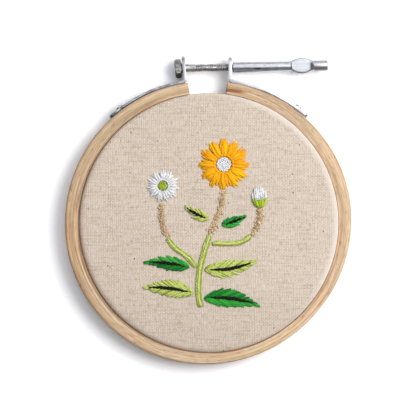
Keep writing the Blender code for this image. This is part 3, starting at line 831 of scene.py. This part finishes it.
dull_steel, paint = finish("screw_steel", 0.38, 1.0)
grime = paint.noise(paint.own_place(), (520, 900, 900), 3.0, 0.6)
tones = ((0.32, screen(126, 123, 118)), (0.5, screen(166, 166, 165)), (0.68, screen(196, 197, 200)))
paint.surface(paint.ramp(grime, *tones), grime, 0.1, 0.1 * MM, paint.ramp(grime, (0.3, 0.5), (0.7, 0.26)))
shank = np.linspace(SCREW_FROM, THREAD_FROM, 12)[:-1]
threaded = np.arange(THREAD_FROM, THREAD_TO, PITCH / THREAD_STEPS)
along = np.concatenate((shank, threaded, (THREAD_TO, SCREW_TO)))
turn = around(SCREW_SIDES)
phase = (along[:, None] / PITCH - turn / (2 * math.pi)) % 1
ridge = np.clip(1.25 - 2.5 * np.abs(phase - 0.5), 0.0, 1.0)
fade = np.clip((along - THREAD_FROM) / PITCH, 0, 1)[:, None]
radius = SCREW_RADIUS - (SCREW_RADIUS - CORE_RADIUS) * (1 - ridge) * fade
radius[along >= THREAD_TO] = CORE_RADIUS
build(
    "screw_rod",
    on_axis(np.broadcast_to(along[:, None], radius.shape), radius * np.cos(turn), radius * np.sin(turn)),
    capped_net(len(along), SCREW_SIDES),
    dull_steel,
    "hoop",
    "dull_steel",
    ["clamp_screw"],
    60,
)

# Screw head: a rough six-sided head of grey steel with chamfered corners and a narrow round collar under
# it. It lies against the leaning left ear, so it is turned a little from the screw's axis.
HEAD_THICK = 2.9 * MM
HEAD_CORNER = 3.75 * MM
HEAD_SIDES = 96
HEAD_LEAN = math.radians(4.5)
HEAD_PITS = 0.025 * MM
# Rows from the ear outwards: share of the thickness, and the most that the corners may reach.
HEAD_ROWS = np.array((
    (0.0, 0.1), (0.0, 0.5), (0.11, 0.5), (0.12, 0.86), (0.18, 0.93), (0.27, 0.985), (0.38, 1.02),
    (0.5, 1.02), (0.65, 1.02), (0.8, 0.985), (0.9, 0.93), (0.98, 0.86), (1.0, 0.82), (1.0, 0.1),
))
rough_steel, paint = finish("head_steel", 0.55, 1.0)
scale = paint.noise(paint.own_place(), (900,) * 3, 4.0, 0.65)
tones = ((0.3, screen(84, 83, 80)), (0.5, screen(122, 121, 118)), (0.72, screen(156, 155, 152)))
paint.surface(paint.ramp(scale, *tones), scale, 0.6, 0.2 * MM, paint.ramp(scale, (0.3, 0.7), (0.7, 0.42)))
turn = around(HEAD_SIDES)
flat_reach = HEAD_CORNER * math.cos(math.pi / 6)
six_sided = flat_reach / np.cos(turn % (math.pi / 3) - math.pi / 6)
depth = HEAD_ROWS[:, :1] * HEAD_THICK
radius = np.minimum(six_sided, HEAD_ROWS[:, 1:] * HEAD_CORNER)
pits = np.sin(turn * 7 + 1) * np.sin(depth * 2600) + np.sin(turn * 17 + depth * 1700)
radius = radius + pits * HEAD_PITS * (radius > flat_reach * 0.5)
across = radius * np.cos(turn)
lean_x = -depth * math.cos(HEAD_LEAN) - across * math.sin(HEAD_LEAN)
lean_y = -depth * math.sin(HEAD_LEAN) + across * math.cos(HEAD_LEAN)
build(
    "screw_head",
    on_axis(LEFT_EAR_OUTSIDE + lean_x, lean_y, radius * np.sin(turn)),
    [face[::-1] for face in capped_net(len(depth), HEAD_SIDES)],
    rough_steel,
    "hoop",
    "dull_steel",
    ["clamp_screw"],
    35,
)

# Long nut: bright turned steel, a little narrower towards the right, pressed flat into a barrel-shaped
# grip, then a sloping shoulder and a short round tip. It turns on the screw.
NUT_SIDES = 64
# Columns: distance along the screw, half width across the grip, half thickness, squareness from 2 (round).
NUT_MM = np.array((
    (9.60, 1.40, 1.40, 2.0), (9.60, 1.98, 1.98, 2.0), (9.72, 2.18, 2.18, 2.0), (9.95, 2.24, 2.24, 2.0),
    (20.0, 2.16, 2.16, 2.0), (31.2, 1.99, 1.97, 2.0), (32.3, 1.97, 1.95, 2.0), (32.68, 2.02, 1.62, 2.5),
    (33.02, 2.14, 1.31, 3.8), (33.3, 2.28, 1.30, 4.8), (34.2, 2.66, 1.30, 5.6), (35.4, 3.02, 1.30, 6.0),
    (36.9, 3.18, 1.30, 6.0), (38.3, 2.97, 1.30, 6.0), (39.4, 2.64, 1.30, 5.6), (40.05, 2.38, 1.31, 4.8),
    (40.35, 2.27, 1.42, 3.6), (40.9, 2.16, 1.74, 2.6), (41.5, 2.11, 2.08, 2.0), (41.8, 2.12, 2.12, 2.0),
    (46.55, 2.12, 2.12, 2.0), (46.8, 2.04, 2.04, 2.0), (47.0, 1.84, 1.84, 2.0), (47.0, 0.30, 0.30, 2.0),
))
# The dark mark's place, the grip's middle, and the tip's start and middle, in the hoop's own axes.
MARK_PLACE = (axis_point + axis_along * 19.4 * MM - axis_across * 0.75 * MM).tolist()
MARK_SIZE = (2.4 * MM, 0.6 * MM)
GRIP_MIDDLE = float((axis_point + axis_along * 36.9 * MM)[0])
TIP_FROM = float((axis_point + axis_along * 41.3 * MM)[0])
TIP_MIDDLE = float((axis_point + axis_along * 44.5 * MM)[1])
bright_steel, paint = finish("bright_steel", 0.2, 1.0)
own = paint.own_place()
own_x, own_y, _ = paint.parts(own)
lines = paint.noise(own, (60, 2600, 2600), 3.0, 0.6)
marks = paint.noise(own, (420, 700, 700), 3.0, 0.65)
tones = ((0.3, screen(164, 166, 170)), (0.48, screen(185, 186, 190)), (0.7, screen(196, 197, 201)))
colour = paint.ramp(marks, *tones)
off_grip = paint.sums("ABSOLUTE", paint.line(own_x, 1.0, -GRIP_MIDDLE))
on_grip = paint.rise(off_grip, 4.0 * MM, 3.0 * MM, high=0.8)
colour = paint.mixed(on_grip, colour, screen(174, 176, 180))
# Painted reflection: the tip's lower side is darkened and made rougher, in place of the dark surroundings
# that it would reflect.
low_side = paint.rise(own_y, TIP_MIDDLE + 0.4 * MM, TIP_MIDDLE - 1.1 * MM)
painted_dark_reflection = paint.product(paint.rise(own_x, TIP_FROM, TIP_FROM + 0.8 * MM), paint.line(low_side, 0.75, 0.2))
colour = paint.mixed(painted_dark_reflection, colour, screen(128, 127, 126))
off_mark = [
    paint.sums("POWER", paint.line(place, 1 / size, -middle / size), 2.0)
    for place, size, middle in zip((own_x, own_y), MARK_SIZE, MARK_PLACE)
]
near_mark = paint.sums("SUBTRACT", -0.3, paint.sums("ADD", *off_mark))
mark = paint.product(paint.held(paint.line(marks, 2.2, near_mark)), 0.85)
colour = paint.mixed(mark, colour, screen(88, 90, 94))
polish = paint.mixed(painted_dark_reflection, paint.ramp(lines, (0.3, 0.34), (0.7, 0.16)), 0.5)
paint.surface(colour, paint.line(marks, 0.5, lines), 0.1, 0.08 * MM, polish)
turn = around(NUT_SIDES)
distance, wide, thick, square = (NUT_MM[:, i][:, None] for i in range(4))
across = wide * np.sign(np.cos(turn)) * np.abs(np.cos(turn)) ** (2 / square)
front_back = thick * np.sign(np.sin(turn)) * np.abs(np.sin(turn)) ** (2 / square)
build(
    "long_nut",
    on_axis(np.broadcast_to(distance, across.shape) * MM, across * MM, front_back * MM),
    capped_net(len(NUT_MM), NUT_SIDES),
    bright_steel,
    "nut",
    "bright_steel",
    ["sleeve_nut"],
    30,
)

# Embroidery thread: six strands of soft cotton used together, each stitch drawn out of the linen at one
# end and back in at the other. A stitch is a flattened tube with the plies' three low ridges round it.
LINEN_BACK = cloth_top - CLOTH_THICK
PLY_TURN = 3.1 * MM
SUNK = 0.15 * MM
BLACK = dyed(14, 12, 13)
LEAST_DYE = 0.12


def cotton(name, deep, pale):
    """Thread of one colour from deep to pale by each stitch's own dye; a dye of 0 is near-black thread.
    The fibre attribute is turned about its length by a full turn for each PLY_TURN, and three plies and
    their fibres are drawn on it."""
    material, paint = finish(name, 0.72, specular=0.16, sheen=0.06)
    dye = paint.node("Attribute", attribute_name="dye").outputs["Fac"]
    fibre = paint.attribute("fibre")
    turn = paint.line(paint.parts(fibre)[2], 2 * math.pi / PLY_TURN)
    twisted = paint.node("VectorRotate", rotation_type="Z_AXIS", Vector=fibre, Angle=turn).outputs[0]
    x, y, _ = paint.parts(twisted)
    plies = paint.line(paint.sums("COSINE", paint.line(paint.sums("ARCTAN2", y, x), 3.0)), 0.5, 0.5)
    strands = paint.noise(twisted, (3000, 3000, 260), 3.0, 0.6)
    colour = paint.ramp(dye, (0.0, BLACK), (0.05, BLACK), (0.1, dyed(*deep)), (1.0, dyed(*pale)))
    colour = paint.toned(colour, paint.ramp(strands, (0.3, 0.74), (0.6, 1.0)))
    colour = paint.toned(colour, paint.ramp(plies, (0.0, 0.8), (0.4, 1.0)))
    paint.surface(colour, paint.line(strands, 0.5, plies), 0.5, 0.1 * MM)
    return material


def leftward(way):
    """A flat direction turned a quarter to the left."""
    return np.stack((-way[..., 1], way[..., 0]), -1)


def unit(ways):
    return ways / np.linalg.norm(ways, axis=-1)[..., None]


def tube(flat, height, half_width, half_height, dye, sides):
    """Threads as closed tubes, one for each row of places on the linen and heights above the back. Round
    the line, a point lies at across * half_width * cos(a) + up * half_height * sin(a). The fibre attribute
    keeps cos(a), sin(a) and the distance along the thread, for the plies' pattern."""
    height = height + askew(flat[..., 0], flat[..., 1])
    centre = np.concatenate((flat, height[..., None]), -1) + ring_middle
    ahead = unit(np.gradient(centre, axis=1))
    level = np.zeros(ahead.shape[:2] + (1,))
    across = unit(np.concatenate((leftward(ahead), level), -1) + 1e-9)
    up = np.cross(ahead, across)
    count, steps = centre.shape[:2]
    run = np.cumsum(np.linalg.norm(np.diff(centre, axis=1, prepend=centre[:, :1]), axis=2), axis=1)
    ring = circle(around(sides))
    points = (
        centre[:, :, None]
        + across[:, :, None] * (half_width[:, :, None] * ring[:, 0])[..., None]
        + up[:, :, None] * (half_height[:, :, None] * ring[:, 1])[..., None]
    )
    along = np.broadcast_to(run[:, :, None], points.shape[:3]) + np.arange(count)[:, None, None] * 7.31 * MM
    fibre = np.concatenate((np.broadcast_to(ring, points.shape[:3] + (2,)) * MM, along[..., None]), -1)
    offset = np.arange(count)[:, None] * steps * sides
    faces = (net(steps, sides) + offset[:, :, None]).reshape(-1, 4).tolist()
    faces += (np.arange(sides)[::-1] + offset).tolist()
    faces += (np.arange((steps - 1) * sides, steps * sides) + offset).tolist()
    dyes = np.broadcast_to(np.asarray(dye, float).reshape(-1, 1, 1), points.shape[:3])
    return points.reshape(-1, 3), faces, fibre.reshape(-1, 3), dyes.reshape(-1)


def sewn(starts, ends, width, rise, dye, bend=0.0, steps=8, sides=8, under=False):
    """Straight stitches between holes in the linen. With t from 0 to 1 along a stitch, its line is raised
    by (1 - |2t - 1|^4)^(1/2) of the full rise and bent sideways by bend * 4t(1 - t)."""
    count = len(starts)
    width, rise, dye, bend = (
        np.broadcast_to(np.asarray(value, float), (count,)) for value in (width, rise, dye, bend)
    )
    even = np.linspace(-1, 1, steps)
    t = 0.5 + 0.5 * np.sin(np.sin(even * math.pi / 2) * math.pi / 2)
    reach = ends - starts
    bow = leftward(unit(reach))[:, None] * (bend[:, None] * 4 * t * (1 - t))[..., None]
    flat = starts[:, None] + reach[:, None] * t[:, None] + bow
    arch = np.sqrt(1 - np.abs(2 * t - 1) ** 4)
    half_width = width[:, None] / 2 * (0.38 + 0.62 * np.sin(math.pi * t) ** 0.4)
    half_height = half_width * 0.68
    lift = (rise[:, None] + half_height) * arch + SUNK * arch - SUNK
    height = LINEN_BACK - lift if under else cloth_top + lift
    return tube(flat, height, half_width, half_height, dye, sides)


def backs(starts, ends, width, dye):
    """What the needle leaves behind the linen: a thread from each stitch's end to the next one's start."""
    leave, arrive = ends[:-1], starts[1:]
    far = np.linalg.norm(arrive - leave, axis=1) > 0.25 * MM
    tone = np.broadcast_to(np.asarray(dye, float), (len(starts),))[:-1][far]
    return sewn(leave[far], arrive[far], width * 0.9, 0.05 * MM, tone, steps=6, sides=6, under=True)


def fuzz(starts, ends, height, count, length, dye, seed):
    """Loose fibres on a group of stitches: each one leaves a random place on a stitch and curls away in
    a slack arc, over ground * t and up 4t(1 - t) of about a quarter of its length."""
    chance = np.random.default_rng(seed)
    pick = chance.integers(0, len(starts), count)
    place = starts[pick] + (ends[pick] - starts[pick]) * chance.uniform(0.1, 0.9, (count, 1))
    heading = chance.uniform(0, 2 * math.pi, count)
    curl = chance.normal(0, 0.9, count)
    size = chance.uniform(0.5, 1.0, count) * length
    t = np.linspace(0, 1, 5)
    step = circle(heading[:, None] + curl[:, None] * t) * (size[:, None] / 4)[..., None]
    flat = place[:, None] + np.cumsum(step, axis=1) - step[:, :1]
    top = cloth_top + chance.uniform(0.35, 1.0, count) * height
    level = top[:, None] + size[:, None] * (0.9 * t * (1 - t) - chance.uniform(0.0, 0.25, count)[:, None] * t)
    level = np.maximum(level, cloth_top + 0.03 * MM)
    thin = np.full(level.shape, 0.03 * MM) * (1 - 0.5 * t)
    return tube(flat, level, thin, thin, np.broadcast_to(dye, (count,)), 3)


THREADS = {
    "thread_green": ((142, 160, 14), (208, 220, 128)),
    "thread_green_dark": ((0, 110, 30), (64, 186, 62)),
    "thread_tan": ((204, 168, 120), (246, 222, 184)),
    "thread_orange": ((252, 158, 0), (255, 196, 8)),
    "thread_white": ((226, 226, 228), (245, 245, 245)),
    "thread_lime": ((128, 160, 6), (188, 212, 54)),
}
cottons = {name: cotton(name, *tones) for name, tones in THREADS.items()}


def work(name, thread, replaced, *bundles):
    """One piece in one thread out of several bundles of tubes."""
    points, faces, fibres, dyes = zip(*bundles)
    firsts = np.cumsum([0] + [len(bundle) for bundle in points])
    faces = [
        [corner + first for corner in face]
        for first, bundle in zip(firsts.tolist(), faces)
        for face in bundle
    ]
    build(
        name,
        np.concatenate(points),
        faces,
        cottons[thread],
        "hoop",
        thread,
        [replaced],
        fibre=np.concatenate(fibres),
        dye=np.concatenate(dyes),
    )


# Green stems: stem stitch, each stitch lying half beside the last one, in rows as broad as the stem.
def curve(guides, share):
    """The place and the direction at a share of a curve led by four points: (1-s)^3 A + 3(1-s)^2 s B +
    3(1-s) s^2 C + s^3 D."""
    a, b, c, d = (np.array(point) * MM for point in guides)
    s = share[:, None]
    place = (1 - s) ** 3 * a + 3 * (1 - s) ** 2 * s * b + 3 * (1 - s) * s**2 * c + s**3 * d
    return place, unit(3 * (1 - s) ** 2 * (b - a) + 6 * (1 - s) * s * (c - b) + 3 * s**2 * (d - c))


def beside(guides, share, offset):
    """Places at a share of a curve and an offset to its left."""
    place, ahead = curve(guides, share)
    return place + leftward(ahead) * offset[:, None]


def length_of(guides):
    return np.linalg.norm(np.diff(curve(guides, np.linspace(0, 1, 40))[0], axis=0), axis=1).sum()


def dye_of(middle, spread, chance, count):
    """Each stitch's own dye, about a middle one."""
    return np.clip(middle + chance.normal(0, spread, count), LEAST_DYE, 1)


# Columns: the CAD node, the four guides in mm from the hoop's middle, the width in mm, the seed.
GREEN_STEMS = (
    ("stem_main_low", ((-3, -33), (-5.5, -24), (-3, -14), (0.5, -5)), 1.7, 31),
    ("stem_left_low", ((-5.2, -17.5), (-7.5, -11.5), (-13.5, -12), (-16, -6)), 1.4, 32),
    ("stem_right_low", ((1.4, -8), (5.5, -7.5), (12.5, -10), (16.6, -5)), 1.4, 33),
)
STEM_STEP = 1.15 * MM
STEM_STITCH = 3.6 * MM
# The rows of stitches over a stem: share of its width from the middle, dye, rise in mm.
STEM_ROWS = ((-0.36, 0.2, 0.1), (0.0, 0.95, 0.42), (0.36, 0.55, 0.12))
for name, guides, width, seed in GREEN_STEMS:
    chance = np.random.default_rng(seed)
    count = int(length_of(guides) / STEM_STEP)
    first = np.linspace(-0.05, 0.93, count)
    last = np.minimum(first + STEM_STITCH / length_of(guides), 1.0)
    first = np.maximum(first, 0)
    slant = 0.16 * width * MM
    rows = []
    for row, shade, lift in STEM_ROWS:
        out = row * width * MM
        low = beside(guides, first, out - slant + chance.normal(0, 0.05, count) * MM)
        high = beside(guides, last, out + slant + chance.normal(0, 0.05, count) * MM)
        rows.append((low, high, dye_of(shade, 0.14, chance, count), np.full(count, lift * MM)))
    starts, ends, dyes, rise = (np.concatenate(part) for part in zip(*rows))
    work(
        name + "_stitches",
        "thread_green",
        name,
        sewn(starts, ends, 0.82 * MM, rise, dyes, chance.normal(0, 0.08, len(starts)) * MM),
        backs(starts, ends, 0.6 * MM, dyes),
        fuzz(starts, ends, 0.9 * MM, 60, 1.1 * MM, 0.7, seed + 1),
    )

# Tan stems: short seed stitches of looser, hairier thread scattered thickly along the line, so that their
# edges are uneven and small loops stand up. The columns are those of the green stems.
TAN_STEMS = (
    ("stem_main_high", ((0.7, -4.4), (3.4, 2), (5.8, 6), (6, 12.3)), 2.1, 41),
    ("stem_left_high", ((-16.3, -5.3), (-18.2, -0.5), (-18.6, 3.5), (-18.3, 7.6)), 1.9, 42),
    ("stem_right_high", ((17.1, -4.4), (20, -1), (20.6, 2), (20.4, 5.2)), 1.9, 43),
)
SEEDS_PER_MM = 11
for name, guides, width, seed in TAN_STEMS:
    chance = np.random.default_rng(seed)
    count = int(length_of(guides) / MM * SEEDS_PER_MM)
    place, ahead = curve(guides, np.sort(chance.uniform(0.0, 1.0, count)))
    left = leftward(ahead)
    out = chance.normal(0, 0.42, count) * width * MM * 0.62
    lean = chance.normal(0, 0.75, (count, 1))
    half = (ahead * np.cos(lean) + left * np.sin(lean)) * chance.uniform(0.45, 0.9, (count, 1)) * MM
    middle = place + left * out[:, None]
    starts, ends = middle - half, middle + half
    dyes = dye_of(0.62, 0.28, chance, count)
    rise = chance.uniform(0.02, 0.5, count) * MM * (1 - 0.4 * np.abs(out) / (width * MM))
    work(
        name + "_seeds",
        "thread_tan",
        name,
        sewn(starts, ends, chance.uniform(0.42, 0.62, count) * MM, rise, dyes, steps=7, sides=6),
        backs(starts, ends, 0.4 * MM, dyes),
        fuzz(starts, ends, 1.0 * MM, 220, 1.5 * MM, 0.6, seed + 1),
    )

# Leaves: fishbone stitch, slanting stitches from the middle line out to the edge by turns left and right,
# their outer ends in small steps, and a near-black back stitch laid over the middle line.
# Columns: the CAD node, the foot, the heading in degrees, length, width and bow in mm, the tone, the seed.
LEAVES = (
    ("leaf_low_right", (-1.6, -29.6), -8, 22, 7.2, 1.5, "dark", 51),
    ("leaf_low_left", (-6, -27.6), 174, 20, 6.8, -1.0, "pale", 52),
    ("leaf_middle_right", (-1.4, -18.4), 10, 21, 6.6, -1.2, "pale", 53),
    ("leaf_middle_left", (-7.6, -17.4), 174, 18, 5.6, -0.8, "dark", 54),
    ("leaf_high_right", (5.4, -0.6), 20, 10, 4.2, -0.6, "dark", 55),
    ("leaf_high_left", (0.2, 1.6), 152, 10.5, 4.2, 0.6, "pale", 56),
)
LEAF_SLANT = math.radians(34)
LEAF_STEP = 0.78
VEIN_STEP = 1.25
VEIN_STITCH = 1.7


def on_leaf(leaf, share, offset):
    """A place on a leaf: a share of its length from the foot, and an offset to the left of the middle line,
    which bows sideways by bow * 4s(1 - s)."""
    foot, heading, length, bow = leaf
    forward = circle(math.radians(heading))
    out = leftward(forward) * (bow * 4 * share * (1 - share) + offset)[:, None]
    return (np.array(foot) + forward * (length * share)[:, None] + out) * MM


for name, foot, heading, length, width, bow, tone, seed in LEAVES:
    chance = np.random.default_rng(seed)
    leaf = (foot, heading, length, bow)
    count = int(length / LEAF_STEP)
    end_share = np.linspace(0.07, 1.0, count)
    reach = width / 2 * np.sin(math.pi * end_share**0.8)
    start_share = np.clip(end_share - (reach + 0.9) / math.tan(LEAF_SLANT) / length, 0.0, 0.86)
    tooth = 0.4 * ((np.arange(count) % 4) / 3 - 0.45) * np.clip(reach, 0, 1)
    layers = []
    for side in (1, -1):
        rough = chance.normal(0, 0.12, count)
        starts = on_leaf(leaf, start_share, -side * 0.22 + chance.normal(0, 0.06, count))
        ends = on_leaf(leaf, end_share + 0.004 * side, side * (reach - 0.1 + tooth + rough))
        if tone == "dark":
            dyes = dye_of(0.22 if side > 0 else 0.72, 0.14, chance, count)
        else:
            dyes = dye_of(0.85, 0.12, chance, count)
            dyes[2::4] = 0.16
        layers.append((starts, ends, dyes, 0.14 + 0.08 * chance.random(count)))
    starts, ends, dyes, rise = (
        np.stack(part, 1).reshape((2 * count,) + part[0].shape[1:]) for part in zip(*layers)
    )
    vein_count = int(length * 0.72 / VEIN_STEP)
    vein = np.linspace(0.1, 0.8, vein_count)
    vein_starts = on_leaf(leaf, vein, chance.normal(0, 0.12, vein_count))
    vein_ends = on_leaf(leaf, vein + VEIN_STITCH / length, chance.normal(0, 0.12, vein_count))
    vein_width = (0.6 + 0.9 * np.sin(math.pi * (vein - 0.1) / 0.7)) * (0.7 + 0.3 * width / 7) * MM
    work(
        name + "_stitches",
        "thread_green" if tone == "pale" else "thread_green_dark",
        name,
        sewn(starts, ends, 0.95 * MM, rise * MM, dyes, chance.normal(0, 0.12, 2 * count) * MM),
        backs(starts, ends, 0.6 * MM, dyes),
        sewn(vein_starts, vein_ends, vein_width, 0.68 * MM, 0.0),
        backs(vein_starts, vein_ends, 0.4 * MM, 0.0),
        fuzz(starts, ends, 0.9 * MM, int(length * 7), 1.1 * MM, 0.6, seed + 10),
    )

# Daisies: every petal is a fan of straight stitches that share holes near the eye, a lower layer spread
# wide and an upper one along the middle, and the eye is filled with knots wound twice round the needle.
# Columns: the CAD nodes' name, the centre, how many petals, their reach, the eye's radius, the stitches in
# a fan, their width, the petals' and the eye's thread, the seed.
DAISIES = (
    ("daisy_orange", (6, 23), 12, 10.2, 3.3, 4, 1.2, "thread_orange", "thread_white", 61),
    ("daisy_white", (-18, 14.6), 11, 6.5, 2.1, 3, 1.0, "thread_white", "thread_lime", 62),
)
RIM_STITCHES = 16
KNOT_MM = 0.78
KNOT_RING = 1.45
KNOT_WINDS = 2.2


def knots(places, size, height, dye, seed):
    """Knots at places: a thread wound round in 2.2 turns of a ring that tightens and climbs a little."""
    chance = np.random.default_rng(seed)
    t = np.linspace(0, 1, 30)
    turn = t * KNOT_WINDS * 2 * math.pi + chance.uniform(0, 6.3, (len(places), 1))
    flat = places[:, None] + size * (0.62 - 0.16 * t)[:, None] * circle(turn)
    level = np.broadcast_to(height + size * (0.1 + 0.5 * t - 0.35 * (t > 0.93)), turn.shape)
    half = np.broadcast_to(size * 0.36 * np.minimum(1, np.minimum(t, 1 - t) * 12 + 0.4), turn.shape)
    return tube(flat, level, half, half, dye, 9)


for name, centre, petals, reach, eye, fan, width, petal_thread, eye_thread, seed in DAISIES:
    chance = np.random.default_rng(seed)
    middle = np.array(centre, float)
    pitch = 2 * math.pi / petals
    fans = []
    for petal in range(petals):
        heading = pitch * petal + math.pi / 2
        for layer, spread, lift, count in ((0, 0.7, 0.05, fan), (1, 0.36, 0.42, fan - 1)):
            share = np.linspace(-1, 1, count)
            turn = heading + share * pitch * spread / 2 + chance.normal(0, 0.02, count)
            far = reach * (1 - 0.13 * share**2 - 0.05 * layer) + chance.normal(0, 0.18, count)
            near = eye * (0.98 if layer else 0.86) + chance.normal(0, 0.08, count)
            from_eye = circle(heading + share * pitch * 0.3) * near[:, None] + middle
            to_edge = circle(turn) * far[:, None] + middle
            fans.append((from_eye, to_edge, np.full(count, lift) + chance.uniform(0, 0.06, count)))
    starts, ends, rise = (np.concatenate(part) * MM for part in zip(*fans))
    dyes = dye_of(0.62, 0.22, chance, len(starts))
    rim = around(RIM_STITCHES)
    rim_from = (circle(rim) * (eye + 0.25) + middle) * MM
    rim_to = (circle(rim + 0.52) * (eye + 0.2) + middle) * MM
    work(
        name + "_petal_stitches",
        petal_thread,
        name + "_petals",
        sewn(starts, ends, width * MM, rise, dyes, chance.normal(0, 0.1, len(starts)) * MM),
        sewn(rim_from, rim_to, 0.85 * MM, 0.5 * MM, 0.5, -0.1 * eye * MM),
        backs(starts, ends, 0.6 * MM, dyes),
        fuzz(starts, ends, 1.1 * MM, petals * 22, 1.4 * MM, 0.8, seed + 1),
    )
    places = [np.zeros((1, 2))]
    for ring in range(1, int(eye / (2 * KNOT_MM)) + 1):
        number = int(2 * math.pi * ring * KNOT_RING / 1.5)
        places.append(circle(around(number) + ring) * ring * KNOT_RING * KNOT_MM)
    places = (np.concatenate(places) + middle) * MM
    places += chance.normal(0, 0.05, places.shape) * MM
    tone = dye_of(0.7, 0.2, chance, len(places))
    toward = np.array((0.9, 0.5)) * MM
    starts, ends = places - toward * 0.3, places + toward * 0.3
    work(
        name + "_eye_knots",
        eye_thread,
        name + "_eye",
        knots(places, KNOT_MM * MM, cloth_top + 0.3 * MM, tone, seed + 2),
        sewn(starts, ends, 0.7 * MM, 0.05 * MM, tone, steps=7, sides=6),
        backs(starts, ends, 0.5 * MM, tone),
        fuzz(places - toward, places + toward, 1.3 * MM, 60, 1.2 * MM, 0.9, seed + 3),
    )

# Bud: long white stitches closing to a point, held at the foot by a lime calyx of shorter stitches that
# spread up over them.
BUD_FOOT = np.array((20.4, 5.7))
BUD_LENGTH = 9.0
BUD_WIDTH = 6.0
BUD_LEAN = math.radians(-6)
bud_up = np.array((math.sin(BUD_LEAN), math.cos(BUD_LEAN)))
bud_side = -leftward(bud_up)
chance = np.random.default_rng(71)


def on_bud(out, up):
    """Places on the bud, by their distance out from its middle line and up from its foot."""
    return (BUD_FOOT + bud_side * out[:, None] + bud_up * up[:, None]) * MM


share = np.linspace(-1, 1, 7)
over = np.linspace(-0.7, 0.7, 5)
starts = np.concatenate((on_bud(share * 2.2, 3.3 - 0.6 * (1 - share**2)), on_bud(over * 1.7, 3.0 + 0 * over)))
lower_ends = on_bud(share * BUD_WIDTH * 0.36, BUD_LENGTH * (0.93 - 0.2 * share**2))
upper_ends = on_bud(over * BUD_WIDTH * 0.3, BUD_LENGTH * (0.98 - 0.16 * over**2))
ends = np.concatenate((lower_ends, upper_ends))
starts += chance.normal(0, 0.1, starts.shape) * MM
ends += chance.normal(0, 0.14, ends.shape) * MM
rise = np.repeat((0.05, 0.45), (len(share), len(over))) * MM
work(
    "bud_petal_stitches",
    "thread_white",
    "bud_petals",
    sewn(starts, ends, 1.0 * MM, rise, 0.8, np.concatenate((share, over)) * -0.45 * MM),
    backs(starts, ends, 0.6 * MM, 0.7),
    fuzz(starts, ends, 1.2 * MM, 240, 1.5 * MM, 0.9, 72),
)
share = np.linspace(-1, 1, 6)
over = np.linspace(-0.6, 0.6, 3)
starts = np.concatenate((on_bud(share * 0.5, 0.2 + 0.1 * share**2), on_bud(over * 0.5, 0.3 + 0 * over)))
lower_ends = on_bud(share * 2.75, 3.6 + 0.7 * np.abs(share))
upper_ends = on_bud(over * 2.2, 3.3 + 0.5 * np.abs(over))
ends = np.concatenate((lower_ends, upper_ends))
ends += chance.normal(0, 0.12, ends.shape) * MM
rise = np.repeat((0.5, 0.8), (len(share), len(over))) * MM
tones = np.array((0.2, 0.9, 0.3, 0.8, 0.2, 0.95, 0.9, 0.4, 0.85))
work(
    "bud_calyx_stitches",
    "thread_lime",
    "bud_calyx",
    sewn(starts, ends, 0.92 * MM, rise, tones, np.concatenate((share, over)) * -0.3 * MM),
    backs(starts, ends, 0.6 * MM, tones),
    fuzz(starts, ends, 1.2 * MM, 50, 1.0 * MM, 0.7, 73),
)
